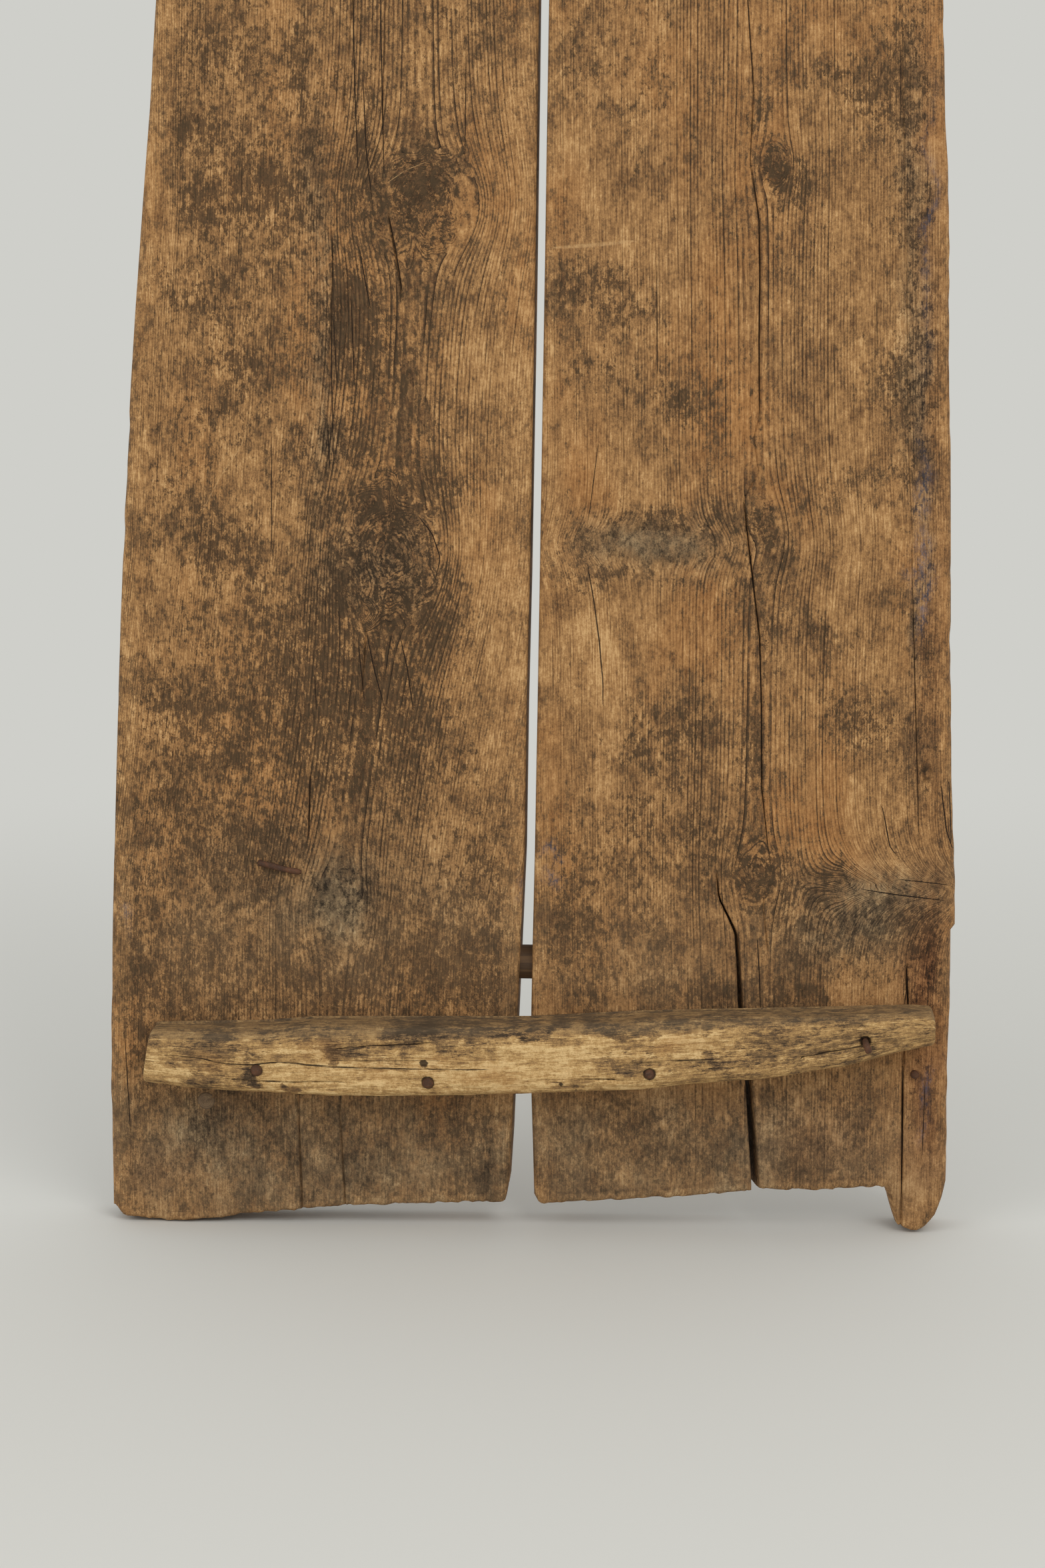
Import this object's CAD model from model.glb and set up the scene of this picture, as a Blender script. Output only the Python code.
import math

import bpy
import numpy as np
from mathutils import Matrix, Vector


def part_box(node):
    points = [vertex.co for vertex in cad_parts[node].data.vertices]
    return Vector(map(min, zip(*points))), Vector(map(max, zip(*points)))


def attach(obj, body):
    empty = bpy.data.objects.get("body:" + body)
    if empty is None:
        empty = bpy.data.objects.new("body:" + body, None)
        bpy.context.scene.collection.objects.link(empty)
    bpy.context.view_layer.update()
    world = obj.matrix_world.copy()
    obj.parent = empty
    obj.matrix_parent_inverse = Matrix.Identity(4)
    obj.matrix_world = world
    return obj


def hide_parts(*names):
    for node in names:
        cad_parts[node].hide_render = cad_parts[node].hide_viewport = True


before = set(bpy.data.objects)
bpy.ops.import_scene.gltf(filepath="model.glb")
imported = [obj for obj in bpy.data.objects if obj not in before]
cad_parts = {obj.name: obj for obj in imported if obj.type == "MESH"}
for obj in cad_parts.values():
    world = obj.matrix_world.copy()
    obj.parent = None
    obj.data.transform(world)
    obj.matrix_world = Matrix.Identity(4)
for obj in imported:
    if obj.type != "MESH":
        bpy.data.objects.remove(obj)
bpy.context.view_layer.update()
scene = bpy.context.scene
scene.view_settings.view_transform = "Standard"


# The two planks are thick pine boards sawn through the heart, so the rings run straight up the
# face and the branch knots lie along it. They stand side by side with a gap between them, worn
# round at the edges, cracked and split at the tail, and bent forward at the nose.
mm = 0.001
tail_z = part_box("left_plank")[0].z
face_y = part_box("rear_batten")[1].y
plank_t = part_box("left_plank")[1].y - face_y
flat_h = 1.180
nose_r = 0.700
nose_bend = math.radians(32)
plank_len = flat_h + nose_r * nose_bend
belly_z = 0.060
top_z = flat_h + (nose_r + plank_t) * math.sin(nose_bend)
taper_power = 1.43
ring_reach = 0.150
ring_count = 64
ring_crowd = 1.22
pith_deep = 5 * mm

# Heights up the face at which the mesh has a row: close at the tail and the nose, for their worn edges
rows = np.concatenate([
    np.array([0, 0.8, 2.0, 3.6, 5.6, 8.0]) * mm,
    np.arange(12, 924, 4.8) * mm,
    np.linspace(0.930, plank_len - 9 * mm, 80),
    plank_len - np.array([6.0, 3.6, 1.8, 0.6, 0]) * mm,
])
edge_steps = (0, 0.5, 1.3, 2.5, 4.2, 6.4, 9.0)
crack_steps = (0, 0.5, 1.1, 2.0, 3.6)
column_step = 2.8
gauge_h = 0.3
tail_fade = 0.25
wall_steps = 5
tail_round = 4.5 * mm
nose_round = 6 * mm
back_round = 5 * mm
outer_round = 8.0 * mm
inner_round = 4.0 * mm
lip_round = 1.6 * mm
split_lean = 8 * mm
split_reach = 28 * mm
split_top = 0.31
pit_count = 46
skin = 10 * mm
seen_top = 0.90
seen_fade = 0.05
left_fray = 9.0
right_fray = 7.0
foot_fray = 4


def level(high):
    """Height above the tail of a point of the face, which leans forward past the flat."""
    turn = np.clip((high - flat_h) / nose_r, 0, None)
    return np.minimum(high, flat_h) + nose_r * np.sin(turn)


def on_board(x, high, deep):
    """Frame points x across, high up the face and deep below it, bent round the nose."""
    turn = np.clip((high - flat_h) / nose_r, 0, None)
    reach = nose_r + deep
    y = face_y + np.where(turn > 0, reach * np.cos(turn) - nose_r, deep)
    z = tail_z + np.where(turn > 0, flat_h + reach * np.sin(turn), high)
    return np.stack([x, y, z], axis=-1)


def ripple(x, y, seed):
    """Smooth seeded noise from -1 to 1, with one swell for each unit of x and y."""
    lattice = np.random.default_rng(seed).uniform(-1, 1, (61, 67))
    x, y = np.broadcast_arrays(np.asarray(x, float), np.asarray(y, float))
    col, row = np.floor(x).astype(int), np.floor(y).astype(int)
    fx, fy = x - col, y - row
    fx, fy = fx * fx * (3 - 2 * fx), fy * fy * (3 - 2 * fy)
    low = lattice[col % 61, row % 67] * (1 - fx) + lattice[(col + 1) % 61, row % 67] * fx
    high = lattice[col % 61, (row + 1) % 67] * (1 - fx) + lattice[(col + 1) % 61, (row + 1) % 67] * fx
    return low * (1 - fy) + high * fy


def line(*points):
    """A line up the face through (x, height) points in millimetres, as x for a height."""
    xs, zs = np.array(points).T * mm
    return lambda high: np.interp(level(high), zs, xs)


def outer_edge(side, reach, taper, swell):
    """The long worn outer edge of a plank, drawn in towards the nose, with its own low swells."""
    def edge(high):
        run = np.clip((level(high) - belly_z) / (top_z - belly_z), 0, 1)
        nick = 0.9 * ripple(high / 0.045, 0 * high, 7 + side) + 0.5 * ripple(high / 0.013, 0 * high, 9 + side)
        nick = np.clip(nick - 0.1, 0, 2) * mm * np.clip(high / 0.05, 0, 1)
        return side * (reach - taper * run ** taper_power + swell(high) - nick)
    return edge


def round_over(off, radius):
    """How far the face sinks at a distance off an edge worn to a radius."""
    left = np.clip(radius - off, 0, radius)
    return radius - np.sqrt(np.maximum(radius ** 2 - left ** 2, 0))


def column_marks(width, first, last):
    """Places from 0 to 1 across a strip, close together at both ends."""
    low = np.array(first) * mm
    high = width - np.array(last)[::-1] * mm
    count = max(2, round((high[0] - low[-1]) / (column_step * mm)))
    return np.concatenate([low[:-1], np.linspace(low[-1], high[0], count + 1), high[1:]]) / width


def spread_of(x, high, spots, seed):
    """The sum of soft uneven patches (x, height, half width, half height, weight) in millimetres."""
    total = np.zeros_like(x)
    px = x / mm + 8 * ripple(x / 0.028, high / 0.034, seed) + 4 * ripple(x / 0.009, high / 0.012, seed + 1)
    pz = high / mm + 9 * ripple(x / 0.030, high / 0.040, seed + 2)
    pz = pz + 6 * ripple(x / 0.008, high / 0.015, seed + 3)
    for sx, sz, half_w, half_h, weight in spots:
        total += weight * np.exp(-((px - sx) / half_w) ** 2 - ((pz - sz) / half_h) ** 2)
    return total


def grain_flow(x, high, deep, knots, spikes, pith):
    """The grain's own place across, its ring, and how far a point is inside a knot."""
    across, core, hub = x.copy(), np.zeros_like(x), np.zeros_like(x)
    gnarl = 0.22 * ripple(x / 0.020, high / 0.026, 90) + 0.12 * ripple(x / 0.008, high / 0.011, 91)
    for kx, kz, radius, stretch, wide, pull, dark in knots:
        dx, dz = x - kx * mm, (high - kz * mm) / stretch
        off = np.hypot(dx / wide, dz) / (radius * mm)
        across -= pull * dx / np.maximum(off, 1) ** 2
        inside = dark * np.exp(-np.clip(off + gnarl - 0.5, 0, None) ** 2 * 6)
        hub = np.where(inside > core, off * radius * mm, hub)
        core = np.maximum(core, inside)
    ring = np.hypot(across - pith(high), deep + pith_deep)
    for ax, az, bx, bz, sweep, reach in spikes:
        share = np.clip((x / mm - ax) / (bx - ax), 0, 1)
        beside = np.abs(high - (az + (bz - az) * share) * mm) + 2 * mm * gnarl
        fade = np.exp(-np.abs(beside) / (reach * mm))
        drawn = np.sign(bx - ax) * sweep * mm * fade * np.clip(share / 0.35, 0, 1) ** 2
        across, ring = across - drawn, ring - np.abs(drawn)
    closed = np.clip((core - 0.15) / 0.4, 0, 1)
    return across + deep, np.abs(ring) * (1 - closed) + hub * closed, core


def crack_marks(x, high, cracks):
    """Signed distance to the nearest fine crack, and that crack's width there."""
    near, wide = np.full(x.shape, 1.0), np.zeros(x.shape)
    for width, *points in cracks:
        points = np.array(points, float) * mm
        steps = np.hypot(*np.diff(points, axis=0).T)
        ends = np.concatenate([[0], np.cumsum(steps)]) / steps.sum()
        for (ax, az), (bx, bz), start, end in zip(points[:-1], points[1:], ends[:-1], ends[1:]):
            rx, rz = bx - ax, bz - az
            t = np.clip(((x - ax) * rx + (high - az) * rz) / (rx * rx + rz * rz), 0, 1)
            gx, gz = x - ax - t * rx, high - az - t * rz
            off = np.hypot(gx, gz) * np.where(rx * gz - rz * gx > 0, 1, -1)
            along = start + t * (end - start)
            closer = np.abs(off) < np.abs(near)
            wide = np.where(closer, width * mm * np.clip(4 * along * (1 - along), 0, 1) ** 0.4, wide)
            near = np.where(closer, off, near)
    return near, np.where(np.abs(near) < 6 * mm, wide, 0)


def dense(crack):
    """Points every few millimetres along a crack."""
    points = np.array(crack[1:], float)
    spots = [points[0]]
    for start, end in zip(points[:-1], points[1:]):
        count = int(np.hypot(*(end - start)) // 8) + 1
        spots += [start + (end - start) * k / count for k in range(1, count + 1)]
    return spots


def share_out(cracks):
    """Two lists of cracks, with those that lie close together put in different lists."""
    groups = [[], []]
    for crack in cracks:
        room = []
        for group in groups:
            pairs = ((p, q) for other in group for p in dense(crack) for q in dense(other))
            room.append(min((np.hypot(*(p - q)) for p, q in pairs), default=1e6))
        groups[int(room[1] > room[0])].append(crack)
    return groups


class Wire:
    """A socket of a node tree: sums on it add Math nodes, and add() gives any other node."""

    def __init__(self, tree, socket=None):
        self.tree = tree
        self.socket = socket

    def add(self, kind, settings=None, sockets=None, out=0):
        node = self.tree.nodes.new(kind)
        for name, value in (settings or {}).items():
            if name == "stops":
                ramp = node.color_ramp.elements
                ramp[0].position, ramp[0].color = value[0]
                ramp[-1].position, ramp[-1].color = value[-1]
                for spot, colour in value[1:-1]:
                    ramp.new(spot).color = colour
            else:
                setattr(node, name, value)
        for key, value in (sockets or {}).items():
            if isinstance(value, Wire):
                self.tree.links.new(value.socket, node.inputs[key])
            else:
                node.inputs[key].default_value = value
        return Wire(self.tree, node.outputs[out])

    def out(self, key):
        return Wire(self.tree, self.socket.node.outputs[key])

    def sum(self, operation, first, second=0.0):
        return self.add("ShaderNodeMath", {"operation": operation}, {0: first, 1: second})

    def __add__(self, other):
        return self.sum("ADD", self, other)

    __radd__ = __add__

    def __mul__(self, other):
        return self.sum("MULTIPLY", self, other)

    __rmul__ = __mul__

    def __sub__(self, other):
        return self.sum("SUBTRACT", self, other)

    def __rsub__(self, other):
        return self.sum("SUBTRACT", other, self)

    def __truediv__(self, other):
        return self.sum("DIVIDE", self, other)

    def __rtruediv__(self, other):
        return self.sum("DIVIDE", other, self)

    def __pow__(self, power):
        return self.sum("POWER", self, power)

    def __abs__(self):
        return self.sum("ABSOLUTE", self)

    def step(self, low, high):
        """0 below low, 1 above high, and smooth between."""
        return self.add("ShaderNodeMapRange", {"interpolation_type": "SMOOTHSTEP"},
                        {"Value": self, "From Min": low, "From Max": high})

    def here(self):
        """The point's own place in the frame."""
        return self.add("ShaderNodeTexCoord", None, None, "Object")

    def vector(self, operation, second=(0, 0, 0), out=0):
        """Vector maths on this vector and a second one."""
        return self.add("ShaderNodeVectorMath", {"operation": operation}, {0: self, 1: second}, out)

    def noise(self, scale, detail=4.0, rough=0.55, twist=0.0):
        """Noise from 0 to 1 on this vector, with so many swells to the metre on each axis."""
        return self.add("ShaderNodeTexNoise", None, {
            "Vector": self.vector("MULTIPLY", scale), "Scale": 1.0,
            "Detail": detail, "Roughness": rough, "Distortion": twist})

    def tint(self, stops):
        """A colour for this value, through (value, red, green, blue) stops."""
        stops = [(spot, paint(*colour)) for spot, *colour in stops]
        return self.add("ShaderNodeValToRGB", {"stops": stops}, {0: self})

    def between(self, low, high):
        """A colour between two others, by this value."""
        return self.add("ShaderNodeMix", {"data_type": "RGBA"}, {0: self, 6: low, 7: high}, 2)

    def over(self, colour, amount):
        """This colour with another laid over it by an amount."""
        return self.add("ShaderNodeMix", {"data_type": "RGBA"}, {0: amount, 6: self, 7: colour}, 2)

    def parts(self, name):
        """A vector attribute of the mesh, and its three values."""
        whole = self.add("ShaderNodeAttribute", {"attribute_name": name}, None, "Vector")
        split = self.add("ShaderNodeSeparateXYZ", None, {0: whole})
        return whole, split, split.out(1), split.out(2)


def paint(red, green, blue):
    """A colour as it looks on screen, 0 to 255, turned into the scene's linear light."""
    screen = np.array([red, green, blue]) / 255
    light = np.where(screen < 0.04045, screen / 12.92, ((screen + 0.055) / 1.055) ** 2.4)
    return (*light.tolist(), 1.0)


def new_finish(name):
    """A material with its shader, and a pen that adds nodes to it."""
    material = bpy.data.materials.new(name)
    material.use_nodes = True
    return material, Wire(material.node_tree), material.node_tree.nodes["Principled BSDF"]


def lay_finish(pen, shader, colour, rough, height):
    """Joins the colour, the roughness and the relief, in millimetres, to the shader."""
    relief = pen.add("ShaderNodeBump", None, {"Strength": 1.0, "Distance": mm, "Height": height})
    for key, wire in (("Base Color", colour), ("Roughness", rough), ("Normal", relief)):
        pen.tree.links.new(wire.socket, shader.inputs[key])


pine_shades = (
    (0.0, 46, 31, 18), (0.25, 91, 62, 38), (0.5, 134, 98, 61), (0.75, 173, 130, 82), (1.0, 210, 168, 115),
)
ashen_shades = (
    (0.0, 36, 30, 23), (0.25, 78, 66, 50), (0.5, 111, 94, 71), (0.75, 146, 126, 95), (1.0, 182, 160, 124),
)
reddish_shades = ((0.0, 36, 22, 14), (0.5, 104, 66, 40), (1.0, 170, 118, 74))
warm_pine = paint(176, 114, 56)
film_brown = paint(102, 83, 59)
dust_brown = paint(98, 86, 69)
faded_blue = paint(70, 88, 116)
scuffed_pine = paint(200, 160, 110)
crack_dark = paint(34, 25, 19)
crack_fray = 0.6 * mm
hair_width = 0.00001


def plank_finish():
    """Old pine: thin dark ring lines, coarse fibre, grime that sits in the grain, and fine cracks."""
    material, pen, shader = new_finish("plank_wood")
    flow, _, _, ring = pen.parts("grain")
    _, grime, worn, edge = pen.parts("wear")
    _, crack_off, crack_wide, knot = pen.parts("flaw")
    _, second_off, second_wide, dust = pen.parts("second_flaw")
    _, grey, blue, red = pen.parts("stain")
    place = pen.here()

    gnarl = place.noise((46, 46, 34), 5, 0.66, 1.5)
    wander = flow.noise((60, 3, 0), 2)
    spacing = flow.noise((0, 0, 120), 1)
    years = ((ring + wander * (1.3 * mm) + spacing * (1.6 * mm)) / ring_reach) ** ring_crowd * ring_count
    years = years + (gnarl - 0.5) * knot * 9
    saw = years.sum("FRACT", years)
    own = pen.add("ShaderNodeTexWhiteNoise", {"noise_dimensions": "1D"}, {"W": years.sum("FLOOR", years)})
    streak = flow.noise((150, 5, 0), 4, 0.62)
    bold = 0.48 + 0.52 * (1 - ring.step(0.03, 0.11))
    late = saw.step(0.40, 0.84) * (1 - saw.step(0.92, 1.0)) * (0.5 + 0.5 * own)
    late = late * (0.4 + 0.6 * streak.step(0.36, 0.6)) * bold * (1 - dust * 0.65)
    seam = saw.step(0.84, 0.92) * (1 - saw.step(0.97, 1.0)) * own.step(0.62, 0.72) * streak.step(0.48, 0.54)
    seam = seam * bold * (1 - knot.step(0.1, 0.3)) * (1 - dust * 0.85)

    grit = place.noise((30, 30, 22), 6, 1.0)
    fibre = flow.noise((210, 9, 0), 2, 1.0)
    hair = flow.noise((860, 62, 0), 1, 0.7)
    cloud = place.noise((17, 17, 12), 4, 0.6)
    clump = place.noise((165, 165, 105), 5, 0.8)
    crumb = flow.noise((340, 150, 0), 4, 0.85)
    fleck = (clump * 0.5 + crumb * 0.5 + late * 0.04 + grime * 0.24 - edge * 0.05).step(0.597, 0.614)
    coat = clump * 0.4 + crumb * 0.4 - grit * 0.8 + grime * 0.34 + late * 0.14 - 0.07
    film = coat.step(-0.10, 0.14) * 0.65 + coat.step(0.015, 0.04) * 0.35
    shade = (0.645 + (grit - 0.5) * 1.7 + (fibre - 0.5) * 0.3 * (1 - 0.5 * knot)
             + (hair - 0.5) * 0.75 * (1 - knot) - late * 0.34 - fleck * 0.32 - film * 0.115
             + worn * 0.13 + edge * 0.05 - knot * 0.12)
    smooth = (0.62 + (cloud - 0.5) * 1.2 + (grit - 0.5) * 2.3 + (hair - 0.5) * 0.5 - late * 0.06
              + edge * crumb.step(0.46, 0.58) * 0.3 - fleck * 0.07)
    shade = shade + (smooth - shade) * dust * 0.8
    rim = edge.step(0.0, 0.06) * (1 - edge.step(0.08, 0.22))
    shade = shade - rim * 0.10
    colour = shade.tint(pine_shades)
    warm = flow.noise((11, 5, 0), 3)
    colour = colour.over(warm_pine, warm.step(0.44, 0.70) * 0.34 * (1 - film) * (1 - dust * 0.7))
    colour = colour.over(film_brown, film * (0.2 + 0.26 * clump.step(0.40, 0.58)))
    colour = colour.over(dust_brown, dust * (0.2 + 0.32 * cloud.step(0.42, 0.62)))
    ashen = (shade - 0.06).tint(ashen_shades)
    colour = colour.over(ashen, (grey * (cloud * 0.6 + clump * 0.9 - 0.25)).step(0.0, 0.75) * 0.85)
    colour = colour.over(shade.tint(reddish_shades), red * 0.8)
    colour = colour.over(faded_blue, blue * crumb.step(0.4, 0.6) * 0.8)
    gouge = (abs(crack_off) + (crumb - 0.5) * crack_fray) / (abs(crack_wide) + hair_width)
    second = (abs(second_off) + (crumb - 0.5) * crack_fray) / (abs(second_wide) + hair_width)
    crack = 1 - gouge.sum("MINIMUM", gouge, second).step(0.3, 1.05)
    scuff = crack * crack.sum("LESS_THAN", crack_wide, 0.0)
    crack = crack - scuff
    colour = colour.over(scuffed_pine, scuff * (0.15 + 0.6 * crumb.step(0.4, 0.6)))
    colour = colour.over(crack_dark, crack.sum("MAXIMUM", crack, seam * 0.85))
    rough = 0.60 + 0.22 * clump + 0.10 * fleck
    height = (0.45 * (fibre - 0.5) * (1 - 0.6 * dust) + 0.9 * (grit - 0.5) + 0.16 * hair + 0.18 * late
              + 0.10 * fleck + 0.8 * gnarl * knot - 0.8 * crack - 0.4 * seam - 0.15 * scuff)
    lay_finish(pen, shader, colour, rough, height)
    shader.inputs["Specular IOR Level"].default_value = 0.18
    return material


def give_vectors(mesh, name, *values):
    """Keeps three values for each point of a mesh, for its finish to read."""
    layer = mesh.attributes.new(name, "FLOAT_VECTOR", "POINT")
    layer.data.foreach_set("vector", np.stack(values, -1).astype(np.float32).ravel())


def mesh_piece(name, points, faces, material):
    """A smooth-shaded mesh object of the scene, with its place in its points."""
    mesh = bpy.data.meshes.new(name)
    mesh.from_pydata(points.tolist(), [], faces)
    mesh.materials.append(material)
    mesh.polygons.foreach_set("use_smooth", np.ones(len(mesh.polygons), bool))
    mesh.update()
    piece = bpy.data.objects.new(name, mesh)
    scene.collection.objects.link(piece)
    return piece


def rule_columns(lines, void):
    """Places from 0 to 1 across each strip between two lines, and the strip that each is in."""
    marks, strip = [], []
    for k in range(len(lines) - 1):
        if k == void:
            continue
        width = lines[k + 1](gauge_h) - lines[k](gauge_h)
        first = edge_steps if k == 0 or k - 1 == void else crack_steps
        last = edge_steps if k == len(lines) - 2 or k + 1 == void else crack_steps
        places = column_marks(width, first, last)
        if k > 0 and k - 1 != void:
            places = places[1:]
        marks.append(places)
        strip.append(np.full(len(places), k))
    return np.concatenate(marks), np.concatenate(strip)


def weather_plank(mesh, px, ph, pd, lines, tail, cracks, knots, spikes, spots, heart, grubby, seed):
    """Gives each point of a plank its grain, grime, wear, cracks, stains and dust."""
    across, ring, core = grain_flow(px, ph, pd, knots, spikes, heart)
    shown = np.clip(1 - pd / skin, 0, 1)
    unseen = np.clip((ph - seen_top) / seen_fade, 0, 1)
    rest = 0.20 + 0.12 * ripple(px / 0.055, ph / 0.085, seed + 9)
    rest = rest + 0.10 * ripple(px / 0.02, ph / 0.03, seed + 10)
    dark = spread_of(px, ph, spots["dark"], seed + 11)
    pale = spread_of(px, ph, spots["pale"], seed + 12)
    patchy = 0.12 * ripple(px / 0.045, ph / 0.060, seed + 15)
    patchy = patchy + 0.10 * ripple(px / 0.017, ph / 0.026, seed + 16)
    seen = grubby + patchy + 0.70 * dark / (1 + 0.7 * dark) - 0.45 * pale
    grime = shown * (seen * (1 - unseen) + rest * unseen) + (1 - shown) * (rest + 0.12)
    side = np.minimum(px - lines[0](ph), lines[-1](ph) - px)
    foot = ph - tail(px)
    ragged = side + 3 * mm * ripple(px / 0.004, ph / 0.05, seed + 14)
    outer = np.minimum(ragged / np.where(px < 0, left_fray, right_fray), foot / foot_fray) / mm
    first, second = share_out(cracks)
    crack_off, crack_wide = crack_marks(px, ph, first)
    second_off, second_wide = crack_marks(px, ph, second)
    dust = np.clip(spread_of(px, ph, spots["dust"], seed + 17), 0, 1)
    stains = [spread_of(px, ph, spots[stain], seed + 13) * shown for stain in ("grey", "blue", "red")]
    give_vectors(mesh, "grain", across, ph, ring)
    give_vectors(mesh, "wear", np.clip(grime, -0.1, 0.8), pale * shown, np.clip(1.9 - outer, 0, 1))
    give_vectors(mesh, "flaw", crack_off, crack_wide * (shown > 0.2), core * (0.3 + 0.7 * shown))
    give_vectors(mesh, "second_flaw", second_off, second_wide * (shown > 0.2), dust * shown)
    give_vectors(mesh, "stain", *stains)


def saw_plank(name, lines, void, tail, grooves, cracks, knots, spikes, spots, heart, grubby, seed):
    """One plank as a closed mesh: a face and a back on one grid of rows and columns, and its edges.

    In millimetres, a groove is (line, depth, half width, start, end), a crack (width, points), with a width
    below 0 for a pale scuff, a knot (x, height, radius, stretch up, stretch across, pull on the grain,
    darkness), a spike knot (x, height, end x, end height, sweep, reach) and a spot as in spread_of.
    """
    marks, strip = rule_columns(lines, void)
    cols = len(marks)
    cut = int(np.sum(strip <= void)) - 1 if void is not None else None
    fade = np.clip(1 - rows / tail_fade, 0, 1)[:, None]
    high = np.repeat(rows[:, None], cols, 1)
    for _ in range(3):
        x = np.zeros_like(high)
        for k in np.unique(strip):
            pick = strip == k
            left, right = lines[k](high[:, pick]), lines[k + 1](high[:, pick])
            x[:, pick] = left + (right - left) * marks[pick]
        low = tail(x)
        high = rows[:, None] + low * fade
    left, right = lines[0](high), lines[-1](high)
    slope = (tail(x + mm) - tail(x - mm)) / (2 * mm)
    off_tail = (high - low) / np.sqrt(1 + slope ** 2)
    off_nose = plank_len - high
    uneven = tail_round * (1 + 0.4 * ripple(x / 0.02, 0, seed))
    sink = [round_over(off_tail, uneven), round_over(off_nose, nose_round)]
    sink_back = [round_over(off_tail, back_round), round_over(off_nose, back_round)]
    for off, outer in ((x - left, left[0, 0] < -0.1), (right - x, right[0, -1] > 0.1)):
        radius = (outer_round if outer else inner_round) * (1 + 0.3 * ripple(high / 0.09, off * 0, seed + 1))
        sink.append(round_over(off, radius))
        sink_back.append(round_over(off, back_round))
    stop = len(rows)
    back_x = x
    if void is not None:
        lip_left, lip_right = lines[void](high), lines[void + 1](high)
        lip = np.where(strip <= void, lip_left - x, x - lip_right)
        opened = lip_right - lip_left > 0.1 * mm
        sink.append(np.where(opened, round_over(lip, lip_round), 0))
        sink_back.append(sink[-1])
        stop = int(np.sum(opened[:, cut]))
        closing = np.clip((split_top - high) / 0.06, 0, 1)
        back_x = x - split_lean * np.exp(-(lip / split_reach) ** 2) * closing
    swell = 0.8 * ripple(x / 0.09, high / 0.32, seed + 2) + 0.4 * ripple(x / 0.03, high / 0.11, seed + 3)
    fur = 0.16 * ripple(x / 0.0055, high / 0.07, seed + 4)
    face = np.maximum.reduce(sink) + (0.9 + 0.7 * swell + fur) * mm
    back = np.maximum.reduce(sink_back) + (0.8 + 0.7 * ripple(x / 0.05, high / 0.2, seed + 5) + fur) * mm
    for k, depth, wide, start, end in grooves:
        along = np.clip((high / mm - start) / (end - start), 0, 1)
        depth = depth * np.clip(4 * along * (1 - along), 0, 1) ** 0.5
        depth = depth * (0.75 + 0.35 * ripple(high / 0.018, high * 0, seed + 6))
        wide = wide * mm * (1 + 0.3 * ripple(high / 0.03, high * 0, seed + 7))
        face += depth * mm * np.clip(1 - np.abs(x - lines[k](high)) / wide, 0, 1)
    draw = np.random.default_rng(seed)
    for _ in range(pit_count):
        cx, cz = draw.uniform(left.min(), right.max()), draw.uniform(0.02, plank_len)
        pit_w, pit_h = draw.uniform(1.6 * mm, 5 * mm), draw.uniform(4 * mm, 16 * mm)
        pit = ((x - cx) / pit_w) ** 2 + ((high - cz) / pit_h) ** 2
        face += draw.uniform(0.3, 1.0) * mm * np.exp(-pit)
    for kx, kz, radius, stretch, wide, _, _ in knots:
        off = np.hypot((x - kx * mm) / wide, (high - kz * mm) / stretch) / (radius * mm)
        face -= 0.9 * mm * np.exp(-off ** 2) - 0.5 * mm * np.exp(-((off - 1.1) / 0.25) ** 2)

    count = high.size
    ids = np.arange(count).reshape(high.shape)
    face_ids, back_ids = ids.copy(), ids + count
    if void is not None:
        face_ids[stop:, cut + 1] = face_ids[stop:, cut]
        back_ids[stop:, cut + 1] = back_ids[stop:, cut]
    px = [x.ravel(), back_x.ravel()]
    ph = [high.ravel(), high.ravel()]
    pd = [face.ravel(), plank_t - back.ravel()]
    keep = np.ones(cols - 1, bool)
    if void is not None:
        keep[cut] = False
    quads = []
    for sheet, turned in ((face_ids, False), (back_ids, True)):
        a, b = sheet[:-1, :-1][:, keep], sheet[:-1, 1:][:, keep]
        c, d = sheet[1:, 1:][:, keep], sheet[1:, :-1][:, keep]
        order = [d, c, b, a] if turned else [a, b, c, d]
        quads.append(np.stack(order, -1).reshape(-1, 4))

    rims = [(np.s_[:, 0], True), (np.s_[:, -1], False), (np.s_[-1, :], True)]
    if void is None:
        rims.append((np.s_[0, :], False))
    else:
        rims += [(np.s_[0, :cut + 1], False), (np.s_[0, cut + 1:], False)]
        rims += [(np.s_[:stop + 1, cut], False), (np.s_[:stop + 1, cut + 1], True)]
    rung = {}
    total = 2 * count
    for place, turned in rims:
        tops, feet = face_ids[place], back_ids[place]
        ladder = []
        for top, foot in zip(tops.tolist(), feet.tolist()):
            if top not in rung:
                rung[top] = list(range(total, total + wall_steps - 1))
                total += wall_steps - 1
            ladder.append([top] + rung[top] + [foot])
        ladder = np.array(ladder)
        e, f, g, h = ladder[:-1, :-1], ladder[:-1, 1:], ladder[1:, 1:], ladder[1:, :-1]
        order = [h, g, f, e] if turned else [e, f, g, h]
        quads.append(np.stack(order, -1).reshape(-1, 4))
    tops = np.array(list(rung))
    share = np.arange(1, wall_steps) / wall_steps
    wx, wh = x.ravel()[tops][:, None], high.ravel()[tops][:, None]
    top_d, foot_d = face.ravel()[tops][:, None], plank_t - back.ravel()[tops][:, None]
    wd = top_d + (foot_d - top_d) * share
    wx = wx + (back_x.ravel()[tops][:, None] - wx) * share
    inward = np.sign((left.ravel() + right.ravel())[tops][:, None] / 2 - wx)
    wx = wx + inward * mm * (0.5 + 0.5 * ripple(wh / 0.05, wd / 0.012, seed + 8))
    wh = np.broadcast_to(wh, wd.shape)
    px, ph, pd = (np.concatenate(p + [w.ravel()]) for p, w in ((px, wx), (ph, wh), (pd, wd)))

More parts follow.
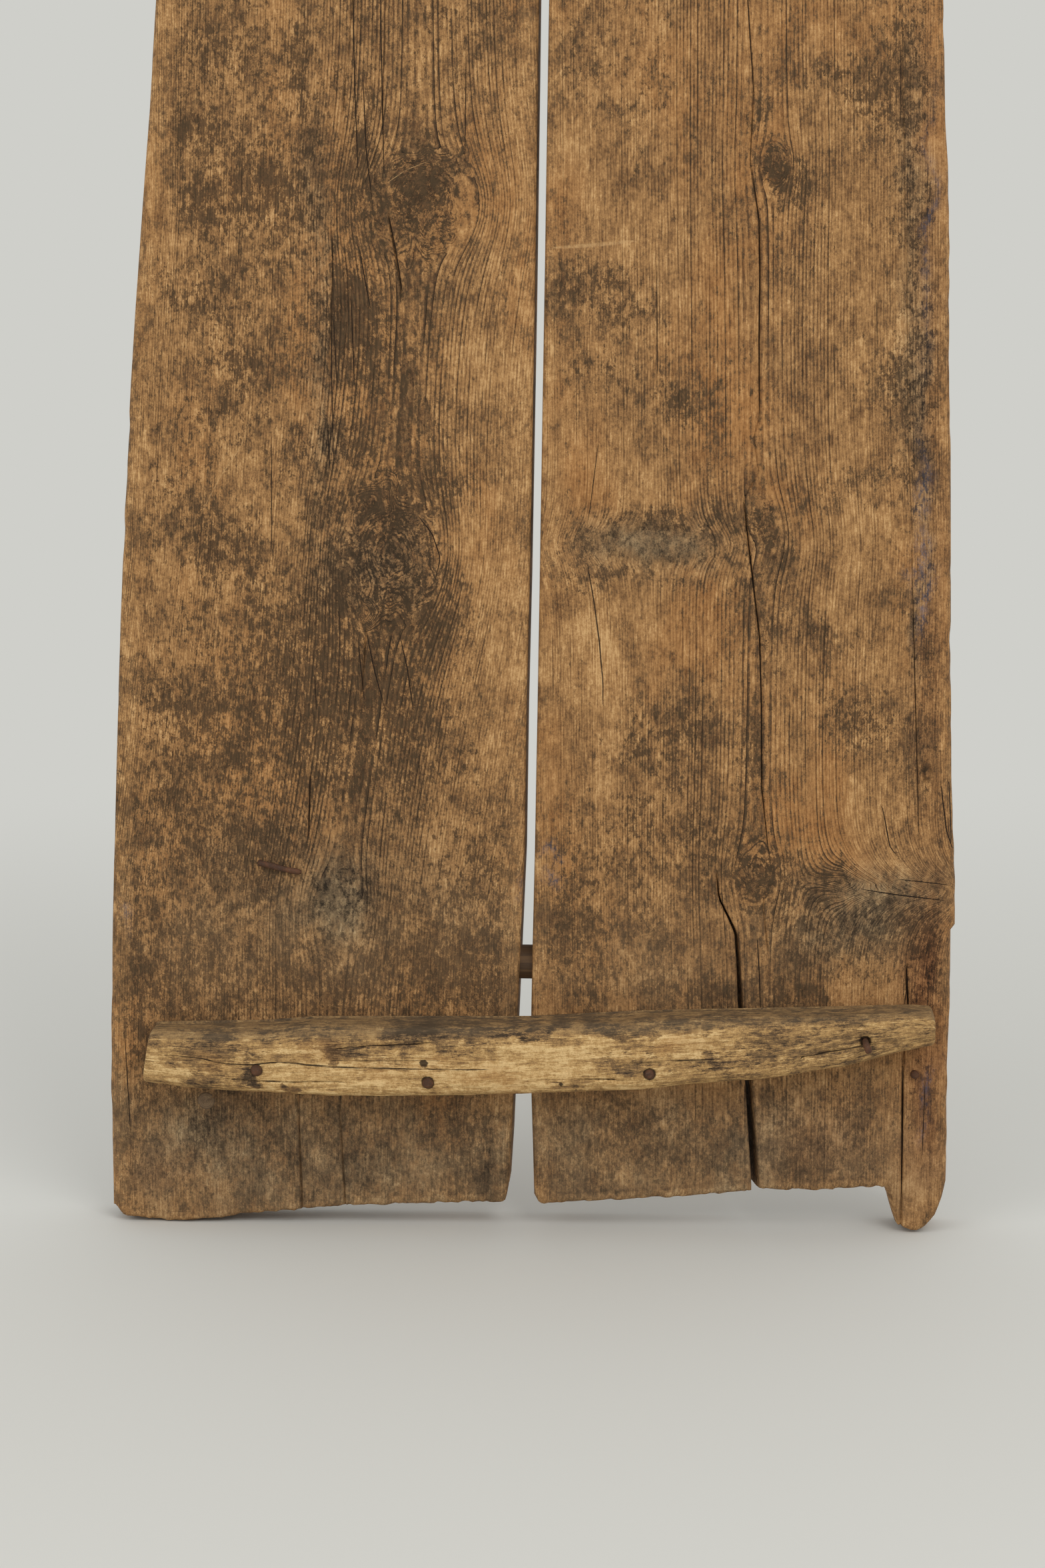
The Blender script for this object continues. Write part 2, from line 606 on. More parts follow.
    quads = np.concatenate(quads)
    used, quads = np.unique(quads, return_inverse=True)
    quads = quads.reshape(-1, 4)
    px, ph, pd = px[used], ph[used], pd[used]
    piece = mesh_piece(name + "_sawn", on_board(px, ph, pd), quads.tolist(), plank_material)
    weather_plank(piece.data, px, ph, pd, lines, tail, cracks, knots, spikes, spots, heart, grubby, seed)
    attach(piece, "sledge")
    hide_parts(name)


def sawn_tail(*points):
    """The plank's tail, uneven and torn, as a height for x."""
    xs, zs = np.array(points).T * mm

    def tail(x):
        torn = 0.8 * ripple(x / 0.007, 0, 3) + 0.5 * ripple(x / 0.0025, 0, 4)
        return np.maximum(np.interp(x, xs, zs) + torn * mm, 0.2 * mm)
    return tail


plank_material = plank_finish()
left_heart = line((-172, 0), (-159, 247), (-115, 515), (-94, 773), (-90, 1600))
left_swell = line(
    (3.0, 0), (2.6, 60), (4.0, 120), (3.6, 300), (4.2, 450), (5.0, 550), (4.4, 620), (3.8, 700),
    (2.2, 780), (1.0, 840), (1.2, 900), (1.0, 1100), (0, 1600),
)
left_reach = 0.334
left_taper = 0.109
left_lines = [
    outer_edge(-1, left_reach, left_taper, left_swell),
    line(
        (-189, 0), (-191, 98), (-186, 220), (-180, 325), (-176, 420), (-163, 606), (-158, 752),
        (-142, 918), (-120, 1600),
    ),
    line(
        (-155, 0), (-159, 89), (-150, 200), (-146, 330), (-136, 458), (-122, 590), (-108, 711),
        (-117, 763), (-121, 840), (-90, 1600),
    ),
    line(
        (-30.5, 0), (-29.7, 35), (-27.4, 71), (-26, 103), (-23, 169), (-20.3, 231), (-17.6, 292),
        (-16, 403), (-13.6, 503), (-10, 708), (-7.3, 917), (-4.2, 1120), (1.5, 1600),
    ),
]
left_tail = sawn_tail(
    (-340, 14), (-334, 12), (-329.5, 4.5), (-310, 1.6), (-286, 0.6), (-262, 2.4), (-214, 8.5),
    (-190, 11.5), (-119, 16.4), (-72, 18.2), (-34.4, 20), (-31.8, 22), (-29.7, 33),
)
left_grooves = [
    (1, 3.5, 1.1, -10, 110), (2, 3.0, 1.0, -10, 96), (1, 2.4, 0.9, 296, 352), (1, 1.4, 0.5, 575, 760),
    (1, 1.5, 0.5, 790, 960), (2, 2.6, 0.9, 400, 462), (2, 2.8, 1.0, 700, 768), (2, 1.5, 0.5, 800, 930),
]
left_cracks = [
    (0.5, (-142, 930), (-141, 855), (-139, 790)), (0.45, (-122, 930), (-121, 840), (-120, 788)),
    (0.5, (-135, 862), (-133, 810), (-129, 775)), (0.6, (-117, 765), (-112, 740), (-107, 708)),
    (0.5, (-139, 742), (-135, 720), (-131, 698)), (0.45, (-158, 690), (-156, 640)),
    (0.5, (-145, 705), (-143, 640)), (0.45, (-158, 752), (-160, 660), (-159, 582)),
    (0.5, (-111, 458), (-105, 430), (-101, 400)), (0.5, (-136, 460), (-130, 430), (-122, 400)),
    (0.4, (-175, 428), (-174, 400)), (0.4, (-142, 454), (-138, 408)), (0.6, (-179, 352), (-181, 300)),
    (0.5, (-163, 610), (-162, 580)), (0.4, (-324, 150), (-321, 70)),
    (0.5, (-96, 545), (-86, 532), (-80, 514), (-84, 498)), (0.35, (-60, 880), (-61, 800)),
    (0.35, (-205, 600), (-206, 520)), (-0.6, (-221, 617), (-228, 596), (-243, 575), (-259, 546)),
    (-0.5, (-119, 787), (-104, 797), (-88, 803)),
]
left_knots = [
    (-92, 772, 27, 1.4, 1.55, 0.5, 0.85), (-115, 515, 38, 1.4, 1.0, 0.5, 0.65),
    (-158, 247, 21, 1.5, 1.0, 0.5, 0.3),
]
left_spots = {
    "dark": [
        (-309, 140, 6, 20, 1.4), (-248, 878, 26, 18, 0.4), (-255, 824, 24, 18, 0.8),
        (-222, 781, 30, 20, 0.8), (-256, 768, 18, 12, 0.6), (-179, 858, 10, 60, 0.6),
        (-254, 700, 26, 16, 0.8), (-145, 704, 12, 20, 0.8), (-134, 826, 8, 25, 0.8),
        (-97, 787, 40, 25, 0.5), (-141, 694, 12, 23, 0.7), (-112, 655, 30, 26, 0.45),
        (-241, 616, 29, 6, 0.8), (-156, 602, 29, 17, 0.7), (-225, 659, 17, 14, 0.5),
        (-239, 526, 21, 20, 0.8), (-116, 558, 50, 16, 0.5), (-160, 492, 26, 35, 0.45),
        (-120, 512, 46, 40, 0.12), (-81, 469, 35, 23, 0.5), (-152, 433, 53, 35, 0.6),
        (-265, 403, 36, 15, 0.5), (-218, 367, 71, 36, 0.48), (-129, 374, 47, 42, 0.45),
        (-272, 307, 48, 36, 0.5), (-219, 289, 36, 42, 0.5), (-82, 255, 47, 36, 0.25),
        (-178, 199, 131, 27, 0.55), (-59, 206, 30, 30, 0.55), (-179, 70, 145, 44, 0.25),
        (-53, 53, 24, 31, 0.4),
    ],
    "pale": [
        (-290, 800, 16, 120, 0.4), (-36, 690, 34, 190, 0.8), (-36, 416, 30, 90, 0.7),
        (-254, 694, 29, 29, 0.3), (-58, 544, 23, 17, 0.4),
    ],
    "grey": [
        (-180, 262, 170, 76, 0.55), (-165, 650, 11, 90, 0.4), (-156, 602, 20, 14, 0.6),
        (-158, 250, 22, 32, 0.9), (-172, 770, 14, 60, 0.5), (-318, 700, 5, 200, 0.35),
        (-120, 508, 46, 44, 0.9), (-168, 650, 14, 220, 0.3), (-180, 60, 200, 70, 0.9),
        (-265, 70, 26, 24, 0.8), (-45, 60, 22, 30, 0.6), (-140, 40, 16, 20, 0.5),
    ],
    "blue": [(-317, 238, 4, 8, 0.8), (-22, 268, 6, 5, 0.7), (-316, 850, 2, 40, 0.5)],
    "red": [(-300, 45, 30, 20, 0.3)],
    "dust": [(-180, 50, 260, 74, 1.1), (-180, 225, 160, 56, 0.6)],
}
left_grubby = 0.22
saw_plank("left_plank", left_lines, None, left_tail, left_grooves, left_cracks, left_knots, [], left_spots,
          left_heart, left_grubby, seed=20)

right_heart = line((160, 0), (158, 277), (157, 456), (153, 600), (150, 800), (140, 1600))
right_swell = line(
    (0.8, 0), (1.0, 150), (2.2, 175), (3.2, 300), (3.2, 450), (4.0, 600), (3.6, 660), (5.2, 720),
    (4.8, 790), (2.8, 830), (2.8, 900), (1.5, 1100), (0, 1600),
)
right_reach = 0.303
right_taper = 0.051
bulge_foot = 236
bulge_top = 350
bulge_out = 3.2 * mm
split_half = 3.4 * mm
split_high = 0.277


def bulged_edge(high):
    """The right edge stands out where a branch came through it, with a step at its foot."""
    rise = np.clip((high / mm - bulge_foot) / 1.5, 0, 1) * np.clip((bulge_top - high / mm) / 80, 0, 1)
    return outer_edge(1, right_reach, right_taper, right_swell)(high) + bulge_out * rise


def split_edge(side):
    """One lip of the split that runs up from the tail, closing at its top."""
    middle = line((159, 0), (159, 37), (153, 114), (146, 176), (144, 210), (142, 232), (137, 243), (129, 259),
                  (127, 277), (127, 600), (120, 1600))

    def lip(high):
        gap = split_half * np.clip(1 - high / split_high, 0, 1) ** 0.62
        return middle(high) + side * gap
    return lip


right_lines = [
    line(
        (-9.6, 0), (-10.3, 27), (-11.4, 71), (-12.4, 103), (-12.6, 169), (-11.4, 231), (-10, 292),
        (-8, 403), (-6.4, 503), (-3.2, 708), (0, 917), (4.2, 1120), (9.9, 1600),
    ),
    split_edge(-1),
    split_edge(1),
    line(
        (176, 0), (170, 150), (166, 219), (162, 254), (168, 288), (165, 297), (162, 326), (160, 344),
        (159, 406), (157, 456), (152, 495), (148, 526), (144, 558), (155, 578), (151, 604), (155, 619),
        (154, 675), (154, 724), (153, 760), (146, 801), (148, 856), (143, 916), (150, 1200), (148, 1600),
    ),
    line(
        (270, 0), (270, 38), (269, 127), (272, 179), (270, 201), (276, 260), (278, 300), (272, 431),
        (265, 588), (250, 1000), (230, 1600),
    ),
    bulged_edge,
]
right_tail = sawn_tail(
    (-12, 30), (-10.3, 27), (-6.2, 18.4), (42, 22), (94, 25), (154, 30.7), (162, 33.5), (198, 32),
    (249, 35.4), (258.4, 35), (261, 26), (264.3, 14), (267.5, 5.7), (276.2, 1), (284, 1.7), (290.3, 6),
    (296.6, 15.6), (301, 29.3), (303, 40),
)
right_grooves = [
    (3, 4.5, 1.0, 440, 572), (3, 2.6, 0.8, 560, 930), (3, 2.6, 0.8, 285, 470), (3, 3.0, 1.0, 216, 262),
    (4, 5.0, 1.2, -10, 160), (4, 4.0, 1.1, 150, 212), (3, 3.0, 1.0, 930, 1300), (4, 1.6, 0.7, 290, 620),
    (4, 1.4, 0.7, 600, 1000),
]
right_cracks = [
    (-2.0, (3, 741), (33, 743), (64, 746)),
    (0.55, (144, 558), (148, 526), (152, 495), (157, 456), (159, 406), (160, 344), (162, 326),
     (166, 292)),
    (0.35, (278, 300), (272, 431), (268, 520)), (0.35, (37, 600), (33, 568), (31, 552), (29, 540)),
    (0.5, (155, 620), (154, 675), (154, 724), (153, 760), (147, 800)),
    (0.5, (148, 850), (143, 916), (144, 950)), (0.5, (299, 350), (301, 322), (302, 300)),
    (0.55, (158, 230), (160, 200), (161, 174)), (0.6, (293, 348), (298, 312), (303, 298)),
    (0.5, (272, 201), (269, 177)), (0.5, (236, 267), (262, 263), (298, 259)),
    (0.4, (262, 275), (300, 271)), (0.4, (253, 885), (254, 828)), (0.35, (239, 705), (240, 668)),
    (0.35, (79, 730), (80, 650)), (0.5, (250, 330), (256, 300), (262, 292)),
    (0.55, (29, 511), (34, 483), (38, 454), (41, 422), (41, 405)), (0.4, (286, 120), (285, 60)),
    (0.7, (269.3, 132), (269.6, 100), (270, 30)), (0.7, (270.4, 208), (272.2, 176)),
]
right_knots = [
    (164, 799, 10, 1.6, 1.0, 0.7, 0.9), (159, 541, 10, 1.6, 1.0, 0.7, 0.85),
    (158, 277, 16, 1.5, 1.0, 0.6, 0.6), (78, 525, 15, 1.0, 3.6, 0.25, 0.6),
    (283, 356, 4, 1.7, 1.0, 0.7, 0.9),
]
right_spikes = [(176, 274, 304, 264, 48, 15)]
right_spots = {
    "dark": [
        (32, 868, 24, 34, 0.5), (68, 850, 16, 60, 0.4), (165, 792, 20, 22, 1.0), (158, 834, 6, 18, 0.9),
        (262, 880, 24, 44, 1.3), (245, 838, 16, 22, 0.8), (201, 860, 36, 14, 0.5),
        (262, 790, 12, 40, 0.9), (258, 748, 20, 10, 1.0), (267, 712, 12, 40, 0.8),
        (262, 655, 20, 34, 0.9), (246, 652, 20, 14, 0.7), (278, 610, 10, 50, 0.8), (40, 714, 30, 20, 1.1),
        (62, 700, 24, 14, 0.9), (8, 704, 12, 24, 0.8), (25, 650, 26, 22, 0.7), (97, 626, 20, 14, 0.9),
        (112, 701, 8, 10, 0.8), (175, 790, 22, 14, 0.6), (248, 580, 23, 7, 1.0), (219, 568, 34, 17, 0.43),
        (90, 548, 42, 8, 1.3), (78, 527, 54, 20, 0.7), (100, 538, 26, 10, 0.8), (12, 515, 22, 18, 1.1),
        (58, 499, 38, 7, 1.0), (160, 539, 14, 17, 1.0), (176, 514, 14, 18, 0.6), (166, 466, 10, 12, 0.8),
        (199, 464, 16, 9, 0.9), (152, 476, 8, 35, 0.5), (83, 397, 26, 16, 1.0), (67, 368, 24, 12, 0.9),
        (111, 389, 20, 16, 0.8), (238, 392, 27, 25, 1.1), (153, 370, 12, 30, 0.72),
        (119, 299, 47, 36, 0.8), (36, 286, 41, 42, 0.5), (169, 275, 26, 22, 0.8), (202, 283, 24, 16, 1.0),
        (222, 232, 50, 26, 1.4), (258, 250, 44, 12, 0.6), (214, 264, 34, 20, 0.5),
        (60, 226, 65, 36, 0.55), (131, 190, 135, 15, 0.75), (73, 67, 83, 37, 1.01),
        (210, 69, 53, 37, 1.0), (274, 430, 12, 88, 0.6), (274, 780, 10, 80, 0.5), (295, 8, 6, 9, 1.74),
        (288, 212, 13, 36, 1.4), (285, 120, 14, 40, 0.4),
    ],
    "pale": [
        (18, 602, 26, 26, 0.9), (30, 430, 36, 56, 0.9), (70, 458, 30, 22, 0.8), (226, 520, 28, 34, 0.6),
        (224, 430, 24, 12, 0.5), (210, 340, 26, 30, 0.5), (229, 665, 34, 80, 0.4),
        (264, 336, 23, 36, 0.4), (103, 694, 34, 34, 0.4), (262, 272, 40, 8, 0.3), (30, 740, 26, 6, 0.5),
        (280, 30, 13, 22, 0.9),
    ],
    "grey": [
        (262, 800, 14, 130, 0.7), (268, 640, 14, 70, 0.7), (78, 524, 58, 20, 1.2),
        (222, 230, 48, 22, 0.9), (240, 260, 60, 30, 0.9), (268, 268, 34, 12, 0.5),
        (276, 620, 5, 200, 0.5), (274, 470, 6, 70, 0.6), (110, 64, 200, 66, 0.8),
    ],
    "blue": [
        (2, 267, 7, 4, 0.9), (6, 287, 6, 4, 0.7), (279, 484, 4, 22, 0.8), (271, 520, 4, 22, 0.7),
        (274, 570, 3, 30, 0.5), (276, 760, 3, 70, 0.5), (288.6, 112, 3, 18, 0.8), (284, 79, 3, 8, 0.6),
    ],
    "red": [
        (286, 480, 13, 190, 0.4), (278, 800, 12, 150, 0.4), (288, 205, 16, 40, 1.0),
        (210, 69, 50, 36, 0.3), (287, 110, 16, 70, 0.9),
    ],
    "dust": [
        (76, 523, 48, 15, 0.7), (110, 50, 220, 72, 1.1), (222, 228, 50, 26, 0.4), (256, 266, 50, 18, 0.4),
        (90, 205, 130, 44, 0.6),
    ],
}
right_grubby = -0.03
right_split = 1
saw_plank("right_plank", right_lines, right_split, right_tail, right_grooves, right_cracks, right_knots,
          right_spikes, right_spots, right_heart, right_grubby, seed=50)


# The dowels are plain round pins of hard wood, driven into both planks to hold them in line. They
# show only across the gap, and keep their turned shape with a dark, greasy finish along the grain.
def dowel_finish():
    """Hard wood, brown and greasy: fine fibre along the pin, under dark smears."""
    material, pen, shader = new_finish("dowel_wood")
    place = pen.here()
    fibre = place.noise((24, 900, 900), 3, 0.6)
    streak = place.noise((9, 160, 160), 4, 0.6)
    smear = place.noise((60, 60, 60), 6, 0.65)
    colour = streak.step(0.35, 0.65).between(paint(112, 84, 54), paint(78, 58, 40))
    colour = colour.over(paint(146, 114, 76), fibre.step(0.55, 0.8) * 0.45)
    colour = colour.over(paint(48, 38, 30), smear.step(0.5, 0.72) * 0.7)
    lay_finish(pen, shader, colour, 0.6 + 0.25 * smear, 0.10 * fibre + 0.10 * streak)
    return material


dowel_material = dowel_finish()
for name in ("rear_dowel", "front_dowel"):
    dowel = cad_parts[name]
    dowel.data.materials.clear()
    dowel.data.materials.append(dowel_material)


# The tail peg is a short hand-cut pin of the same wood, driven through the left plank and trimmed
# off flush, so that its end grain shows as a small round with a split across it.
def cut_peg(name, material, sides, seed):
    """A pin turned from rings of (share of its radius, depth in millimetres), split across its end."""
    low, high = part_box(name)
    middle = (low + high) / 2
    radius = (high.x - low.x) / 2
    shape = [(0.30, 0.0), (0.62, 0.1), (0.86, 0.35), (0.97, 0.9), (1.0, 2.2), (1.0, 20), (0.98, 40)]
    angle = np.arange(sides) * 2 * math.pi / sides
    points = [(middle.x, low.y + 0.3 * mm, middle.z)]
    for share, deep in shape:
        around = radius * share * (1 + 0.035 * ripple(angle * 1.6, share, seed))
        split = 0.8 * mm * np.exp(-(np.sin(angle - 0.5) / 0.16) ** 2) * (share < 0.9)
        px, pz = middle.x + around * np.cos(angle), middle.z + around * np.sin(angle)
        points += list(zip(px, low.y + deep * mm + split, pz))
    points.append((middle.x, high.y, middle.z))
    faces = [(0, 1 + (k + 1) % sides, 1 + k) for k in range(sides)]
    for ring in range(len(shape) - 1):
        start = 1 + ring * sides
        for k in range(sides):
            after = (k + 1) % sides
            faces.append((start + k, start + after, start + sides + after, start + sides + k))
    start = 1 + (len(shape) - 1) * sides
    faces += [(len(points) - 1, start + k, start + (k + 1) % sides) for k in range(sides)]
    return mesh_piece(name + "_cut", np.array(points), faces, material)


def peg_finish(name):
    """End grain: fine rings about the pin's middle, dusty brown, with a dark line round it."""
    material, pen, shader = new_finish("peg_wood")
    low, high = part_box(name)
    place = pen.here()
    middle = (low + high) / 2
    inner = place.vector("SUBTRACT", middle).vector("MULTIPLY", (1, 0, 1))
    off = inner.vector("LENGTH", out="Value") / ((high.x - low.x) / 2)
    stir = place.noise((260, 260, 260), 4, 0.7)
    rings = off.sum("FRACT", (off + stir * 0.25) * 5)
    shade = 0.56 - rings.step(0.5, 0.9) * 0.12 + (stir - 0.5) * 0.7 - off.step(0.86, 0.98) * 0.34
    colour = shade.tint(((0.0, 40, 30, 22), (0.5, 112, 90, 66), (1.0, 176, 146, 106)))
    lay_finish(pen, shader, colour, 0.7 + 0.2 * stir, 0.25 * stir - 0.10 * rings)
    return material


peg = cut_peg("left_tail_peg", peg_finish("left_tail_peg"), sides=24, seed=5)
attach(peg, "sledge")
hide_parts("left_tail_peg")


# The two battens are hewn poles of pale wood nailed across the planks. The rear one is split from
# a bowed branch, flat behind, full at the middle and thin at its right end; the front one is
# straight. Their tops are grey with dust and their fronts are rubbed to a pale, splintered straw.
batten_sides = 132
batten_step = 3.0
batten_hug = 1.6 * mm
batten_ends = np.array([0, 0.8, 2.2, 4.2, 6.6])
end_rings = (0.985, 0.8, 0.55, 0.28)
end_coarse = 0.5
end_stretch = 5.5
left_end_round = 2.6 * mm
right_end_round = 2.8 * mm
lean_reach = 14 * mm
front_bluff = 0.50
back_bluff = 0.22
pit_slope = 1.6 * mm
crack_deep = 2.2 * mm
far_off = 20 * mm
straw_shades = (
    (0.0, 46, 34, 25), (0.25, 92, 72, 52), (0.5, 145, 113, 74), (0.75, 192, 153, 98), (1.0, 230, 196, 140),
)
warm_straw = paint(168, 116, 62)
top_dust = paint(102, 87, 67)
split_dark = paint(40, 29, 21)
hole_dark = paint(40, 30, 24)
splinter = 1.6 * mm


def batten_finish():
    """Weathered pole: straw wood rubbed and splintered in patches, dull brown between, grey on top."""
    material, pen, shader = new_finish("batten_wood")
    flow, _, _, _ = pen.parts("grain")
    _, grime, worn, top = pen.parts("wear")
    _, crack_off, crack_wide, hole_off = pen.parts("flaw")
    streak = flow.noise((150, 13, 0), 4, 0.72)
    fibre = flow.noise((430, 42, 0), 3, 0.95)
    dash = flow.noise((300, 62, 0), 4, 0.8)
    patch = flow.noise((62, 34, 0), 6, 0.85)
    cloud = flow.noise((24, 12, 0), 3, 0.55)
    grit = flow.noise((110, 110, 0), 5, 1.0)
    nick = flow.noise((620, 40, 0), 3, 0.8)
    dull = (patch * 0.55 + dash * 0.45 + grime * 0.22 - worn * 0.16).step(0.515, 0.57)
    stain = (patch * 0.4 + dash * 0.6 + cloud * 0.3 + grime * 0.16 - worn * 0.12).step(0.752, 0.788)
    bright = (dash * 0.5 + streak * 0.5 + worn * 0.16 - top * 0.3).step(0.52, 0.60) * (1 - dull * 0.7)
    shade = (0.66 + (grit - 0.5) * 1.5 + (fibre - 0.5) * 1.1 + (streak - 0.5) * 0.7
             - dull * 0.22 - stain * 0.30
             - (nick * 0.7 + patch * 0.3 + grime * 0.04 - worn * 0.03).step(0.55, 0.61) * 0.26
             + bright * 0.17 - top * (0.06 + 0.08 * dull))
    colour = shade.tint(straw_shades)
    warm = flow.noise((30, 15, 0), 3)
    colour = colour.over(warm_straw, warm.step(0.5, 0.72) * 0.28 * (1 - top))
    colour = colour.over(top_dust, top * 0.45 + dull * 0.15)
    ragged = abs(crack_off) + (dash - 0.5) * splinter
    crack = (1 - (ragged / (crack_wide + hair_width)).step(0.2, 1.1)) * streak.step(0.42, 0.52)
    colour = colour.over(split_dark, crack * 0.92)
    hole = 1 - (hole_off + (grit - 0.5) * (2.4 * mm)).step(-0.3 * mm, 0.7 * mm)
    colour = colour.over(hole_dark, hole * 0.9)
    rough = 0.68 + 0.2 * patch
    height = (0.9 * (fibre - 0.5) + 0.7 * (streak - 0.5) + 0.8 * (grit - 0.5) + 0.14 * bright
              - 0.10 * dull - 0.8 * crack - 0.4 * hole)
    lay_finish(pen, shader, colour, rough, height)
    shader.inputs["Specular IOR Level"].default_value = 0.18
    return material


batten_material = batten_finish()


def tube_faces(first, second):
    """Four-sided faces between each ring of points and the next."""
    rings = [first, np.roll(first, -1, 1), np.roll(second, -1, 1), second]
    return np.stack(rings, -1).reshape(-1, 4).tolist()


def hew_batten(name, ends, low, top, depth, lean, cracks, pits, dusk, rubbed, seed):
    """A pole lofted along x between a low and a top edge, flat behind and full in front."""
    length = (ends[1] - ends[0]) / mm
    inner = np.arange(9, length - 9, batten_step)
    station = ends[0] + np.concatenate([batten_ends, inner, length - batten_ends[::-1]]) * mm
    angle = np.arange(batten_sides) * 2 * math.pi / batten_sides
    off_left, off_right = (station - ends[0])[:, None], (ends[1] - station)[:, None]
    worn = np.maximum(round_over(off_left, left_end_round), round_over(off_right, right_end_round))
    x = np.repeat(station[:, None], batten_sides, 1)
    base, crown, front = low(x), top(x), depth(x)
    turn, lift = np.cos(angle)[None], np.sin(angle)[None]
    bluff = np.where(turn < 0, front_bluff, back_bluff)
    half_h = (crown - base) / 2 - worn * 0.75
    half_d = (front + batten_hug) / 2 - worn * 0.35
    out = np.sign(turn) * np.abs(turn) ** bluff
    up = np.sign(lift) * np.abs(lift) ** bluff
    y = face_y + batten_hug - half_d - worn * 0.35 + out * half_d
    z = tail_z + (base + crown) / 2 + up * half_h
    arc = np.hypot(np.diff(y, axis=1), np.diff(z, axis=1)).mean(0)
    girth = np.concatenate([[0], np.cumsum(arc)])[None]
    facet = 0.9 * ripple(x / 0.055, girth / 0.022, seed) + 0.45 * ripple(x / 0.02, girth / 0.009, seed + 1)
    fur = 0.32 * ripple(x / 0.016, girth / 0.0032, seed + 2)
    fur = fur + 0.22 * ripple(x / 0.006, girth / 0.002, seed + 3)
    dent = (0.9 + facet + fur) * mm * (out < 0.75)
    rise = np.clip((z - tail_z - base) / (crown - base), 0, 1)
    x = x + (lean[0] + (lean[1] - lean[0]) * rise) * mm * np.exp(-off_left / lean_reach)
    off, wide = crack_marks(x, z - tail_z, cracks)
    facing = out < -0.3
    dent += np.where(facing, crack_deep * np.clip(1 - np.abs(off) / (wide * 1.6 + 0.0001), 0, 1), 0)
    hole = np.full(x.shape, far_off)
    for px, pz, size, deep in pits:
        off_pit = np.hypot(x - px * mm, z - tail_z - pz * mm) - size * mm
        off_pit = np.where(facing, off_pit, far_off)
        hole = np.minimum(hole, off_pit)
        dent += deep * mm * np.clip(-off_pit / pit_slope, 0, 1)
    y = y - dent * out * (half_d > 0)
    z = z - dent * up
    points = np.stack([x, y, z], -1)
    rings, sides = points.shape[:2]
    ids = np.arange(rings * sides).reshape(rings, sides)
    quads = tube_faces(ids[:-1], ids[1:])
    points = points.reshape(-1, 3)
    extra, grow = [], []
    total = rings * sides
    for side, rim in ((0, ids[0]), (1, ids[-1])):
        hub = points[rim].mean(0)
        last = rim
        for share in end_rings:
            ring = hub + (points[rim] - hub) * share
            ring[:, 0] += (0.5 - side) * mm * 1.2 * ripple(ring[:, 1] / 0.006, ring[:, 2] / 0.006, seed + 4)
            extra.append(ring)
            grow.append(rim)
            here = np.arange(total, total + sides)
            total += sides
            pair = np.stack([last, here, np.roll(here, -1), np.roll(last, -1)], -1)
            quads += (pair if side == 0 else pair[:, ::-1]).tolist()
            last = here
        extra.append(hub[None])
        grow.append(rim[:1])
        hub_id = total
        total += 1
        for p, q in zip(last.tolist(), np.roll(last, -1).tolist()):
            quads.append((p, hub_id, q) if side == 0 else (q, hub_id, p))
    points = np.concatenate([points] + extra)
    grow = np.concatenate([np.arange(rings * sides)] + grow)
    piece = mesh_piece(name + "_hewn", points, quads, batten_material)
    flat = [values.ravel()[grow] for values in (girth + 0 * x, x, up + 0 * x, off, wide * facing, hole)]
    capped = np.arange(len(points)) >= rings * sides
    end_grain = (points[:, 2] * end_coarse, points[:, 1] * end_stretch, 0, 1, 0, far_off)
    flat = [np.where(capped, ending, values) for ending, values in zip(end_grain, flat)]
    crest = flat[2] + 0.12 * ripple(points[:, 0] / 0.05, 0, seed + 5)
    crest = crest + 0.07 * ripple(points[:, 0] / 0.014, flat[0] / 0.004, seed + 7)
    crest = np.clip((crest - 0.66) / 0.22, 0, 1)
    across, above = points[:, 0], points[:, 2] - tail_z
    dusk, rubbed = (spread_of(across, above, spots, seed + 6) for spots in (dusk, rubbed))
    give_vectors(piece.data, "grain", *flat[:3])
    give_vectors(piece.data, "wear", dusk, rubbed, crest)
    give_vectors(piece.data, "flaw", *flat[3:])
    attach(piece, "sledge")
    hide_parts(name)


def run_of(*points):
    """A height in metres for x, through (x, height) points in millimetres."""
    xs, zs = np.array(points).T * mm
    return lambda x: np.interp(x, xs, zs)


rear_dusk = [
    (-270, 142, 34, 12, 0.3), (-240, 150, 40, 10, 0.2), (-160, 152, 20, 8, 1.0), (-170, 137, 12, 9, 0.8),
    (-92, 158, 30, 8, 0.8), (-222, 123, 9, 5, 1.2), (-262, 120, 20, 6, 0.8), (20, 166, 80, 6, 0.6),
    (120, 144, 12, 3, 0.5), (60, 142, 26, 4, 0.4), (-190, 116, 6, 4, 1.6),
]
rear_rubbed = [
    (-196, 122, 26, 9, 1.6), (-167, 138, 20, 8, 1.3), (-131, 124, 30, 9, 1.5), (-226, 152, 6, 8, 1.4),
    (-285, 124, 20, 10, 1.0), (-66, 132, 30, 8, 1.2), (-8, 154, 14, 10, 1.5), (-40, 144, 24, 10, 0.9),
    (6, 134, 30, 12, 1.2), (36, 156, 20, 8, 1.0), (108, 156, 26, 7, 1.0), (60, 124, 40, 6, 1.2),
    (-110, 114, 60, 4, 0.8), (200, 150, 90, 30, -0.3),
]
rear_cracks = [
    (0.8, (-285, 143), (-259, 141), (-241, 136.5), (-218, 136), (-200, 139), (-179, 136.5), (-145, 134.6),
     (-99, 134.4), (-42, 135)),
    (0.6, (-158, 150), (-130, 153), (-99, 155), (-84, 156)),
    (0.8, (56, 141), (83, 142.3), (96, 143.6), (128, 145)),
    (0.8, (190, 146), (210, 150), (237, 155), (262, 159)), (0.5, (-240, 124), (-190, 122), (-150, 123)),
    (0.5, (20, 128), (60, 127)),
]
nail_shank = 4.6 * mm
head_dent = (4.6, 0.5)
